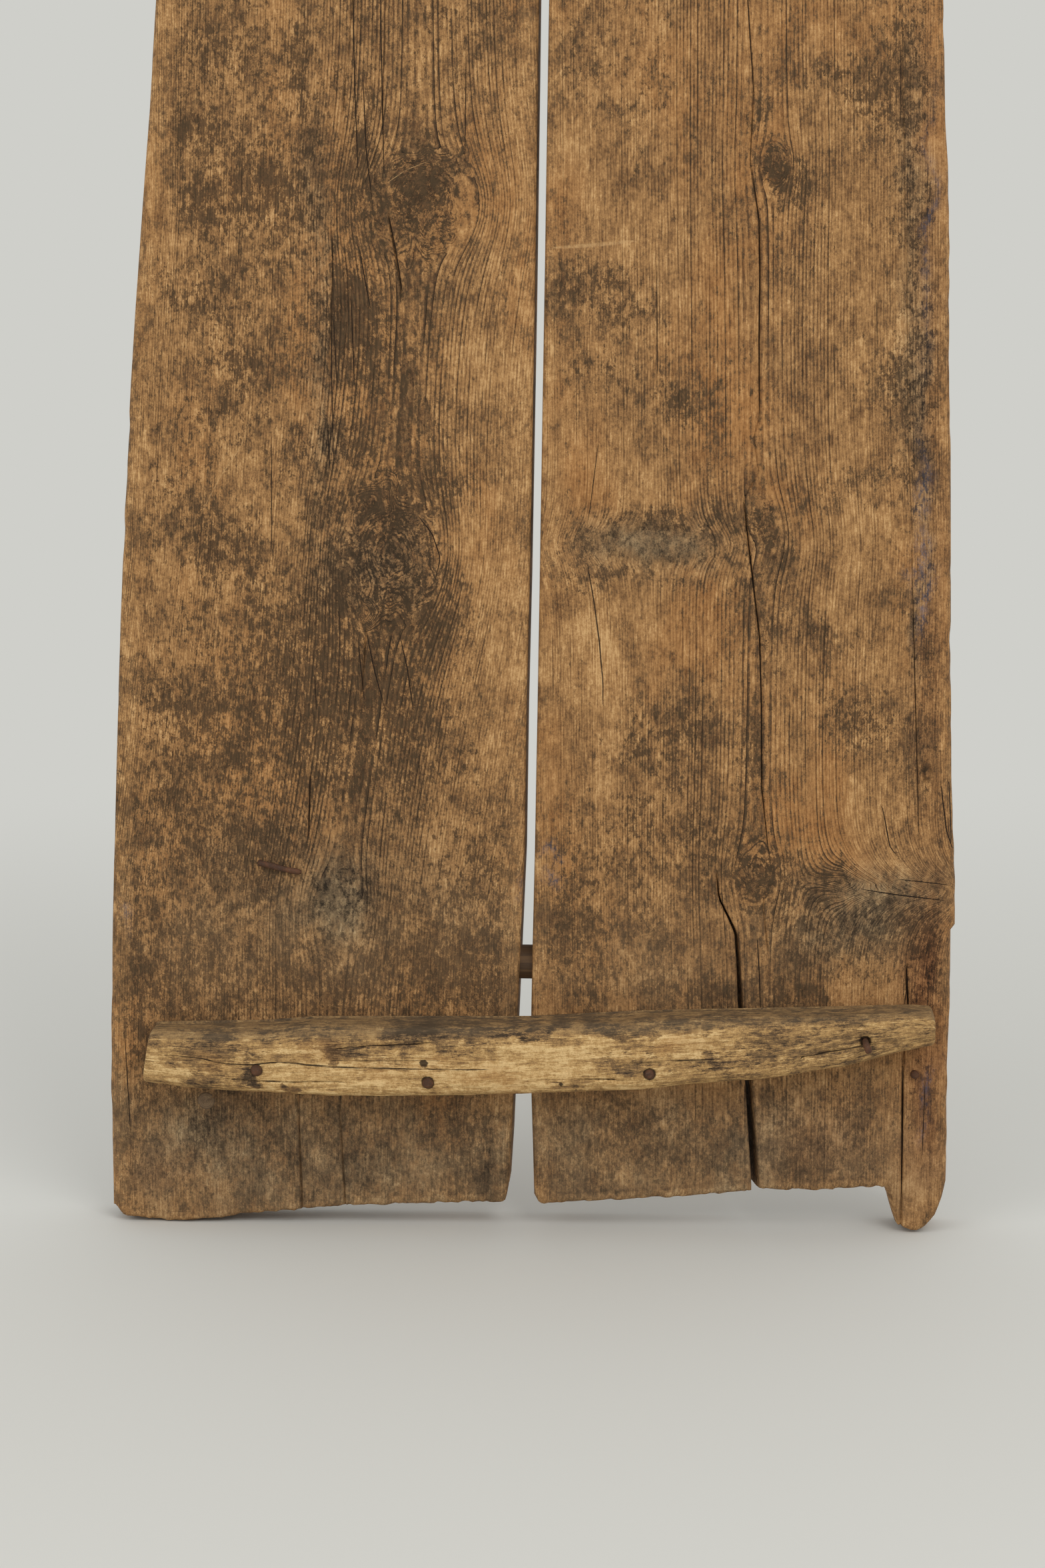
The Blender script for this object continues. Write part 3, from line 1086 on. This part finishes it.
rear_nails = ["rear_nail_1", "rear_nail_2", "rear_nail_3"]
front_nails = ["front_nail_1", "front_nail_2", "front_nail_3", "front_nail_4"]


def nail_pit(name):
    """The dent that a nail's head lies in, as (x, height, half width, depth) in millimetres."""
    low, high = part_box(name)
    return (low.x + high.x) / 2 / mm, ((low.z + high.z) / 2 - tail_z) / mm, *head_dent


rear_bent_low, rear_bent_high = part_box("rear_bent_nail")
rear_pits = [(-91, 138, 3.6, 2.4), (12, 124, 1.6, 0.5),
             (rear_bent_low.x / mm + 2.6, (rear_bent_high.z - tail_z) / mm - 3.4, 4.4, 5.0)]
rear_pits += [nail_pit(name) for name in rear_nails]
rear_low, rear_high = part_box("rear_batten")
rear_base = run_of((-300, 118), (-264, 114), (-220, 110.6), (-137, 110.4), (-45, 112.8), (68, 117.6),
                   (157, 126.5), (220, 137), (290, 154))
rear_crown = run_of((-300, 160), (-211, 162.7), (-176, 166), (-13, 168), (72, 173.5), (195, 177.5),
                    (272, 180), (287, 179.4), (290, 178))
rear_depth = run_of((-300, 40), (-250, 42), (150, 42), (290, 36))
rear_lean = (-4.5, 1.5)
hew_batten("rear_batten", (rear_low.x, rear_high.x), rear_base, rear_crown, rear_depth, rear_lean,
           rear_cracks, rear_pits, rear_dusk, rear_rubbed, seed=80)

front_low, front_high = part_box("front_batten")
front_base = (front_low.z - tail_z) / mm
front_crown = (front_high.z - tail_z) / mm
front_cracks = [
    (0.7, (-180, front_base + 30), (-90, front_base + 27), (-30, front_base + 28)),
    (0.6, (40, front_base + 36), (120, front_base + 38), (190, front_base + 35)),
]
front_dusk = [
    (-150, front_base + 40, 60, 12, 0.9), (60, front_base + 44, 70, 10, 0.9),
    (170, front_base + 20, 30, 14, 0.7),
]
front_rubbed = [
    (-60, front_base + 18, 50, 10, 1.3), (90, front_base + 24, 40, 9, 1.2),
    (-190, front_base + 24, 24, 10, 0.9),
]
front_pits = [(-128, front_base + 20, 3.6, 1.5)] + [nail_pit(name) for name in front_nails]
front_under = run_of((-240, front_base + 1.5), (-60, front_base + 0.4), (120, front_base + 1.2),
                     (240, front_base + 2))
front_over = run_of((-240, front_crown - 2), (-100, front_crown - 0.6), (90, front_crown - 1.4),
                    (240, front_crown - 1))
front_depth = run_of((-240, 41), (0, 42), (240, 41))
front_lean = (0.0, 1.5)
hew_batten("front_batten", (front_low.x, front_high.x), front_under, front_over, front_depth, front_lean,
           front_cracks, front_pits, front_dusk, front_rubbed, seed=110)


# The nails are short forged iron with round heads beaten almost flush, driven through the battens
# into the planks: three in the rear batten and four in the front one, all rusted dark.
nail_heads = rear_nails + front_nails
nail_length = 40 * mm
head_share = 0.9
head_rise = 3.0 * mm
head_proud = 3.6 * mm


def iron_finish():
    """Old wrought iron: dark brown rust with grey skin where it is rubbed and orange in the pits."""
    material, pen, shader = new_finish("rusty_iron")
    place = pen.here()
    scale = place.noise((900, 900, 900), 5, 0.65)
    cloud = place.noise((170, 170, 170), 4, 0.6)
    colour = cloud.step(0.36, 0.64).between(paint(98, 66, 46), paint(74, 52, 39))
    colour = colour.over(paint(130, 80, 47), scale.step(0.54, 0.72) * 0.6)
    colour = colour.over(paint(112, 95, 80), (1 - scale.step(0.32, 0.44)) * 0.45)
    lay_finish(pen, shader, colour, 0.58 + 0.3 * scale, 0.25 * scale + 0.2 * cloud)
    shader.inputs["Metallic"].default_value = 0.12
    shader.inputs["Specular IOR Level"].default_value = 0.3
    return material


iron_material = iron_finish()


def node_group(name, *inputs):
    """A Geometry Nodes tree with named inputs, the pen that adds to it, and the inputs' node."""
    tree = bpy.data.node_groups.new(name, "GeometryNodeTree")
    tree.interface.new_socket("Geometry", in_out="INPUT", socket_type="NodeSocketGeometry")
    for label, kind in inputs:
        tree.interface.new_socket(label, in_out="INPUT", socket_type="NodeSocket" + kind)
    tree.interface.new_socket("Geometry", in_out="OUTPUT", socket_type="NodeSocketGeometry")
    pen = Wire(tree)
    given = pen.add("NodeGroupInput")
    return tree, pen, given


def close_tree(pen, copies, finish):
    """Ends a tree: its copies made real, with their finish."""
    whole = pen.add("GeometryNodeRealizeInstances", None, {0: copies})
    whole = pen.add("GeometryNodeSetMaterial", None, {"Geometry": whole, "Material": finish})
    end = pen.tree.nodes.new("NodeGroupOutput")
    pen.tree.links.new(whole.socket, end.inputs[0])


def grow_piece(name, points, tree, values):
    """Runs a tree over a set of points and keeps the result as a plain mesh piece."""
    mesh = bpy.data.meshes.new(name + "_points")
    mesh.from_pydata([tuple(p) for p in points], [], [])
    seed_piece = bpy.data.objects.new(name + "_points", mesh)
    scene.collection.objects.link(seed_piece)
    modifier = seed_piece.modifiers.new("grow", "NODES")
    modifier.node_group = tree
    for item in tree.interface.items_tree:
        if item.in_out == "INPUT" and item.name in values:
            modifier[item.identifier] = values[item.name]
    bpy.context.view_layer.update()
    grown = seed_piece.evaluated_get(bpy.context.evaluated_depsgraph_get())
    result = bpy.data.meshes.new_from_object(grown)
    result.name = name
    piece = bpy.data.objects.new(name, result)
    scene.collection.objects.link(piece)
    bpy.data.objects.remove(seed_piece)
    return piece


def nail_tree():
    """Puts a beaten head on a shank at each point, with its own turn and size."""
    tree, pen, given = node_group(
        "nail_heads", ("Head Width", "Float"), ("Head Rise", "Float"), ("Shank Width", "Float"),
        ("Shank Length", "Float"), ("Iron", "Material"), ("Seed", "Int"))
    half = given.out("Head Width") * 0.5
    rise = given.out("Head Rise")
    head = pen.add("GeometryNodeMeshCone", {"fill_type": "TRIANGLE_FAN"}, {
        "Vertices": 14, "Side Segments": 3, "Fill Segments": 2,
        "Radius Top": half * 0.62, "Radius Bottom": half, "Depth": rise}, "Mesh")
    shank = pen.add("GeometryNodeMeshCylinder", {"fill_type": "TRIANGLE_FAN"}, {
        "Vertices": 8, "Side Segments": 3,
        "Radius": given.out("Shank Width") * 0.5, "Depth": given.out("Shank Length")}, "Mesh")
    down = pen.add("ShaderNodeCombineXYZ", None, {"Z": given.out("Shank Length") * -0.5})
    shank = pen.add("GeometryNodeTransform", None, {"Geometry": shank, "Translation": down})
    joined = pen.add("GeometryNodeJoinGeometry", None, {0: head})
    pen.tree.links.new(shank.socket, joined.socket.node.inputs[0])
    spot = pen.add("GeometryNodeInputPosition")
    rough = pen.add("ShaderNodeTexNoise", None, {"Vector": spot, "Scale": 260.0, "Detail": 2.0}, "Color")
    rough = rough.vector("SUBTRACT", (0.5, 0.5, 0.5))
    rough = pen.add("ShaderNodeVectorMath", {"operation": "SCALE"}, {0: rough, "Scale": rise * 0.5})
    beaten = pen.add("GeometryNodeSetPosition", None, {"Geometry": joined, "Offset": rough})
    beaten = pen.add("GeometryNodeSetShadeSmooth", None, {0: beaten})
    low_turn, high_turn = (math.pi / 2 - 0.08, 0.0, -0.08), (math.pi / 2 + 0.08, 6.28, 0.08)
    spin = pen.add("FunctionNodeRandomValue", {"data_type": "FLOAT_VECTOR"},
                   {0: low_turn, 1: high_turn, "Seed": given.out("Seed")}, 0)
    size = pen.add("FunctionNodeRandomValue", {"data_type": "FLOAT"},
                   {2: 0.9, 3: 1.08, "Seed": given.out("Seed")}, 1)
    placed = pen.add("GeometryNodeInstanceOnPoints", None,
                     {"Points": given.out("Geometry"), "Instance": beaten, "Rotation": spin, "Scale": size})
    close_tree(pen, placed, given.out("Iron"))
    return tree


nail_spots = []
for name in nail_heads:
    low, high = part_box(name)
    nail_spots.append(((low.x + high.x) / 2, low.y + head_proud, (low.z + high.z) / 2))
nail_low, nail_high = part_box("rear_nail_1")
nails = grow_piece("batten_nails", nail_spots, nail_tree(), {
    "Head Width": (nail_high.x - nail_low.x) * head_share, "Head Rise": head_rise,
    "Shank Width": nail_shank, "Shank Length": nail_length, "Iron": iron_material, "Seed": 7})
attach(nails, "sledge")
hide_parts(*nail_heads)


# Three more nails stand alone: one that bent over as it was driven into the rear batten, one that
# was driven through from the back and clenched down on the face, and one broken off in the foot.
def run_along(points):
    """How far along a path each of its points is."""
    return np.concatenate([[0], np.cumsum(np.linalg.norm(np.diff(points, axis=0), axis=1))])


def forge(name, path, thick, sides, material, closed=False, flat=1.0, seed=0):
    """A hammered bar along a path of points, each with its own thickness."""
    path = np.array(path, float)
    thick = np.broadcast_to(np.array(thick, float), len(path))
    if closed:
        ahead = np.roll(path, -1, 0) - np.roll(path, 1, 0)
    else:
        ahead = np.gradient(path, axis=0)
    ahead /= np.linalg.norm(ahead, axis=1)[:, None]
    side = np.cross(ahead[0], (0.3, 0.2, 0.93) if abs(ahead[0][2]) < 0.8 else (1.0, 0.1, 0.2))
    sides_of, ups = [], []
    for step in ahead:
        side = side - step * np.dot(side, step)
        side = side / np.linalg.norm(side)
        sides_of.append(side)
        ups.append(np.cross(step, side))
    angle = np.arange(sides) * 2 * math.pi / sides
    run = run_along(path)[:, None]
    beat = 1 + 0.06 * ripple(run / 0.011, angle[None] * 1.3 + 0 * run, seed)
    beat = beat + 0.04 * ripple(run / 0.004, angle[None] * 2.1, seed + 1)
    if closed:
        fold = np.clip(run / run.max() / 0.06, 0, 1)
        beat = beat * fold + beat[-1] * (1 - fold)
    wide = thick[:, None] / 2 * beat
    points = (path[:, None] + (wide * np.cos(angle) * flat)[..., None] * np.array(sides_of)[:, None]
              + (wide * np.sin(angle))[..., None] * np.array(ups)[:, None])
    count = len(path)
    ids = np.arange(count * sides).reshape(count, sides)
    faces = tube_faces(ids, np.roll(ids, -1, 0)) if closed else tube_faces(ids[:-1], ids[1:])
    points = points.reshape(-1, 3)
    if not closed:
        for rim, hub, turned in ((ids[0], path[0], True), (ids[-1], path[-1], False)):
            points = np.concatenate([points, hub[None]])
            for p, q in zip(rim.tolist(), np.roll(rim, -1).tolist()):
                faces.append((q, p, len(points) - 1) if turned else (p, q, len(points) - 1))
    return mesh_piece(name, points, faces, material)


def bend(*points, count=24):
    """Evenly spaced points along a smooth curve through a few given ones."""
    points = np.array(points, float)
    run = run_along(points)
    even = np.linspace(0, run[-1], count * 4)
    curve = np.stack([np.interp(even, run, points[:, k]) for k in range(3)], -1)
    for _ in range(count // 3):
        curve[1:-1] = (curve[:-2] + 2 * curve[1:-1] + curve[2:]) / 4
    pick = np.linspace(0, len(curve) - 1, count).round().astype(int)
    return curve[pick]


bent_rows = 26
clench_rows = 60
bent_x = rear_bent_low.x + 2.6 * mm
bent_top = rear_bent_high.z - 3.4 * mm
bent_out = rear_bent_low.y
bent_path = bend((bent_x, face_y - 20 * mm, bent_top), (bent_x, bent_out + 6.5 * mm, bent_top),
                 (bent_x + 1.0 * mm, bent_out + 3.6 * mm, bent_top - 2.0 * mm),
                 (bent_x + 2.4 * mm, bent_out + 3.4 * mm, bent_top - 5.6 * mm), count=bent_rows)
bent_thick = np.interp(np.arange(bent_rows), [0, 16, 22, 24, 25], np.array([4.6, 4.6, 5.2, 5.2, 3.4]) * mm)
bent_nail = forge("rear_bent_nail_iron", bent_path, bent_thick, 14, iron_material, seed=31)

clench_low, clench_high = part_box("clenched_nail")
clench_x = clench_low.x + 5.0 * mm
clench_z = clench_high.z - 5.0 * mm
clench_y = clench_low.y + 2.4 * mm
clench_path = bend((clench_x, clench_high.y, clench_z), (clench_x, face_y, clench_z),
                   (clench_x, clench_y + 0.6 * mm, clench_z),
                   (clench_x + 4 * mm, clench_y, clench_z - 0.6 * mm),
                   (clench_x + 20 * mm, clench_y + 0.5 * mm, clench_z - 4.6 * mm),
                   (clench_high.x - 2 * mm, clench_y + 1.0 * mm, clench_low.z + 2.6 * mm), count=clench_rows)
clench_taper = np.array([1.7, 2.0, 1.9, 1, 1, 0.95, 1.05, 0.5])
clench_thick = np.interp(np.arange(clench_rows), [0, 1, 2, 3, 34, 52, 57, 59], nail_shank * clench_taper)
clenched_nail = forge("clenched_nail_iron", clench_path, clench_thick, 12, iron_material, flat=0.86, seed=35)

stub_low, stub_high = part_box("broken_nail")
stub_x, stub_z = (stub_low.x + stub_high.x) / 2, (stub_low.z + stub_high.z) / 2
stub_path = bend((stub_x, stub_high.y, stub_z), (stub_x, stub_low.y + 1.4 * mm, stub_z),
                 (stub_x - 0.4 * mm, stub_low.y + 0.6 * mm, stub_z + 0.4 * mm), count=14)
stub_thick = nail_shank * np.array([1] * 11 + [1.5, 1.45, 0.9])
broken_nail = forge("broken_nail_iron", stub_path, stub_thick, 12, iron_material, seed=39)
single_nails = {"rear_bent_nail": bent_nail, "clenched_nail": clenched_nail, "broken_nail": broken_nail}
for name, piece in single_nails.items():
    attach(piece, "sledge")
    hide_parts(name)


# The hitch is a forged iron staple with its legs driven through the front batten and the gap, and
# its points bent over behind the planks. A heavy ring, welded shut, hangs and swings in its eye.
staple_low, staple_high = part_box("hitch_staple")
staple_d = 7 * mm
staple_half = staple_high.z - staple_d / 2
tip_y = staple_high.y - staple_d / 2
arc = np.linspace(-math.pi / 2, math.pi / 2, 17)
eye_y = staple_low.y + staple_d / 2
eye_arc = [(0, eye_y + staple_half * (1 - math.cos(a)), staple_half * math.sin(a)) for a in arc]
staple_path = np.concatenate([
    bend((staple_low.x + 0.6 * mm, tip_y, -staple_half), (-2 * mm, tip_y, -staple_half),
         (0, tip_y - 2 * mm, -staple_half), (0, eye_arc[0][1] + 1 * mm, -staple_half), count=44),
    np.array(eye_arc),
    bend((0, eye_arc[-1][1] + 1 * mm, staple_half), (0, tip_y - 2 * mm, staple_half),
         (2 * mm, tip_y, staple_half), (staple_high.x - 0.6 * mm, tip_y, staple_half), count=44)])
staple_rows = len(staple_path)
taper_rows = [0, 10, 16, staple_rows - 17, staple_rows - 11, staple_rows - 1]
staple_taper = np.interp(np.arange(staple_rows), taper_rows, [0.45, 0.9, 1.0, 1.0, 0.9, 0.45])
staple_thick = staple_d * staple_taper
staple = forge("hitch_staple_iron", staple_path, staple_thick, 16, iron_material, flat=0.95, seed=43)
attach(staple, "sledge")
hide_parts("hitch_staple")

ring_low, ring_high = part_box("hitch_ring")
ring_iron = ring_high.y - ring_low.y
ring_mid = (ring_low + ring_high) / 2
ring_half = (ring_high.x - ring_low.x - ring_iron) / 2
ring_rows = 96
lap = np.linspace(0, 2 * math.pi, ring_rows + 1)[:-1] - math.pi / 2
ring_x, ring_z = ring_mid.x + ring_half * np.cos(lap), ring_mid.z + ring_half * np.sin(lap)
ring_path = np.stack([ring_x, np.full(ring_rows, ring_mid.y), ring_z], -1)
rubbed_thin = 0.10 * np.exp(-((lap - math.pi / 2) / 0.22) ** 2)
weld_lump = 0.06 * np.exp(-((lap - 0.6) / 0.12) ** 2)
ring_thick = ring_iron * (0.97 - rubbed_thin + weld_lump)
ring = forge("hitch_ring_iron", ring_path, ring_thick * 0.95, 16, iron_material, closed=True, seed=47)
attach(ring, "ring")
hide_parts("hitch_ring")


# The flints are small chipped blades of grey stone, driven in staggered rows into the underside,
# where they cut the straw. Each is a flake with its own turn and wear, standing proud of the wood.
def flint_finish():
    """Chipped flint: smoky grey to brown stone, pale where the rind is left, glossy on fresh faces."""
    material, pen, shader = new_finish("flint")
    place = pen.here()
    cloud = place.noise((46, 46, 46), 4, 0.6)
    grain = place.noise((420, 420, 420), 4, 0.6)
    own = place.noise((19, 8, 16), 1, 0.5)
    colour = own.step(0.35, 0.65).between(paint(96, 92, 88), paint(120, 104, 84))
    colour = colour.over(paint(62, 60, 60), cloud.step(0.5, 0.7) * 0.7)
    colour = colour.over(paint(170, 160, 142), grain.step(0.6, 0.76) * 0.5)
    colour = colour.over(paint(104, 84, 60), (1 - cloud.step(0.3, 0.46)) * 0.6)
    lay_finish(pen, shader, colour, 0.3 + 0.4 * grain, 0.14 * grain + 0.2 * cloud)
    return material


def flint_tree():
    """Puts one of three chipped flakes at each point, with its own tilt and size."""
    tree, pen, given = node_group(
        "flint_rows", ("Blade Length", "Float"), ("Blade Thickness", "Float"), ("Blade Reach", "Float"),
        ("Stone", "Material"), ("Seed", "Int"))
    spot = pen.add("GeometryNodeInputPosition")
    bag = pen.add("GeometryNodeJoinGeometry")
    for turn in range(3):
        ball = pen.add("GeometryNodeMeshIcoSphere", None, {"Radius": 0.5, "Subdivisions": 2}, "Mesh")
        chip = pen.add("ShaderNodeTexNoise", {"noise_dimensions": "4D"},
                       {"Vector": spot, "W": 3.7 * turn, "Scale": 2.1, "Detail": 2.0}, "Color")
        chip = chip.vector("SUBTRACT", (0.5, 0.5, 0.5)).vector("MULTIPLY", (0.5, 0.55, 0.45))
        flake = pen.add("GeometryNodeSetPosition", None, {"Geometry": ball, "Offset": chip})
        girth = pen.add("ShaderNodeCombineXYZ", None, {
            "X": given.out("Blade Thickness"), "Y": given.out("Blade Reach"), "Z": given.out("Blade Length")})
        flake = pen.add("GeometryNodeTransform", None, {"Geometry": flake, "Scale": girth})
        flake = pen.add("GeometryNodeGeometryToInstance", None, {0: flake})
        tree.links.new(flake.socket, bag.socket.node.inputs[0])
    tilt = pen.add("FunctionNodeRandomValue", {"data_type": "FLOAT_VECTOR"},
                   {0: (-0.16, -0.12, -0.14), 1: (0.16, 0.12, 0.14), "Seed": given.out("Seed")}, 0)
    size = pen.add("FunctionNodeRandomValue", {"data_type": "FLOAT_VECTOR"},
                   {0: (0.85, 0.88, 0.86), 1: (1.1, 1.04, 1.06), "Seed": given.out("Seed") + 1}, 0)
    placed = pen.add("GeometryNodeInstanceOnPoints", None, {
        "Points": given.out("Geometry"), "Instance": bag, "Pick Instance": True,
        "Rotation": tilt, "Scale": size})
    close_tree(pen, placed, given.out("Stone"))
    return tree


flint_gap = 10 * mm
flint_sink = 1.5 * mm
flint_thick = 8.5 * mm
flint_rows = sorted(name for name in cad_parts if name.startswith("flint_row"))
flint_spots = []
for name in flint_rows:
    corners = np.array([v.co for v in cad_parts[name].data.vertices])
    order = corners[np.argsort(corners[:, 0])]
    breaks = np.where(np.diff(order[:, 0]) > flint_gap)[0] + 1
    for blade in np.split(order, breaks):
        low, high = blade.min(0), blade.max(0)
        flint_spots.append((low + high) / 2 - (0, flint_sink, 0))
flint_low, flint_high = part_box("flint_row_01")
flints = grow_piece("flints", flint_spots, flint_tree(), {
    "Blade Length": flint_high.z - flint_low.z, "Blade Thickness": flint_thick,
    "Blade Reach": flint_high.y - flint_low.y + 1 * mm, "Stone": flint_finish(), "Seed": 11})
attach(flints, "sledge")
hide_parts(*flint_rows)


# The floor is a wide pale sheet under two soft studio lamps and an even sky. It fades into the pale
# surround with distance, so that no edge of it shows, and keeps the shadow of what stands on it.
surround = paint(207, 207, 202)
floor_colour = paint(214, 214, 208)
floor_half = 9.0
floor_points = np.array([(-1, -1, 0), (1, -1, 0), (1, 1, 0), (-1, 1, 0)]) * floor_half + (0, 0, tail_z)
floor_material, floor_pen, floor_shader = new_finish("studio_floor")
floor = mesh_piece("studio_floor", floor_points, [(0, 1, 2, 3)], floor_material)
floor_off = floor_pen.here().vector("LENGTH", out="Value")
floor_shader.inputs["Base Color"].default_value = floor_colour
floor_shader.inputs["Roughness"].default_value = 0.9
floor_shader.inputs["Specular IOR Level"].default_value = 0.1
floor_glow = floor_pen.add("ShaderNodeEmission", None, {"Color": surround, "Strength": 1.0})
floor_plain = Wire(floor_pen.tree, floor_shader.outputs[0])
floor_fade = floor_off.step(1.25, 2.6)
floor_mix = floor_pen.add("ShaderNodeMixShader", None, {0: floor_fade, 1: floor_plain, 2: floor_glow})
floor_pen.tree.links.new(floor_mix.socket, floor_pen.tree.nodes["Material Output"].inputs["Surface"])

world = bpy.data.worlds.new("studio")
scene.world = world
world.use_nodes = True
world_pen = Wire(world.node_tree)
ray = world_pen.add("ShaderNodeLightPath")
seen_ray = ray.sum("MAXIMUM", ray.out("Is Camera Ray"), ray.out("Is Glossy Ray"))
seen_ray = ray.sum("MAXIMUM", seen_ray, ray.out("Is Transmission Ray"))
sky_light = 0.78
soft = world_pen.add("ShaderNodeBackground", None, {"Color": (1.0, 1.0, 1.0, 1.0), "Strength": sky_light})
shown = world_pen.add("ShaderNodeBackground", None, {"Color": surround, "Strength": 1.0})
sky = world_pen.add("ShaderNodeMixShader", None, {0: seen_ray, 1: soft, 2: shown})
world_pen.tree.links.new(sky.socket, world_pen.tree.nodes["World Output"].inputs["Surface"])


def soft_lamp(name, place, target, size, power):
    """A large square lamp that looks at a point."""
    lamp = bpy.data.lights.new(name, "AREA")
    lamp.shape = "SQUARE"
    lamp.size = size
    lamp.energy = power
    holder = bpy.data.objects.new(name, lamp)
    holder.location = place
    holder.rotation_euler = (Vector(target) - Vector(place)).to_track_quat("-Z", "Y").to_euler()
    scene.collection.objects.link(holder)


lit_spot = (0, -0.3, -0.8)
soft_lamp("key_lamp", (1.5, -2.8, 1.6), lit_spot, 1.8, 34)
soft_lamp("fill_lamp", (-2.2, -2.2, 1.0), lit_spot, 2.0, 16)

camera = bpy.data.cameras.new("camera")
camera.lens = 70
camera.sensor_width = 36
eye = Vector((0.0992, -2.2018, -0.4174))
aim = Vector((-0.019, 0.053, -0.775))
camera_holder = bpy.data.objects.new("camera", camera)
camera_holder.location = eye
camera_holder.rotation_euler = (aim - eye).to_track_quat("-Z", "Y").to_euler()
scene.collection.objects.link(camera_holder)
scene.camera = camera_holder
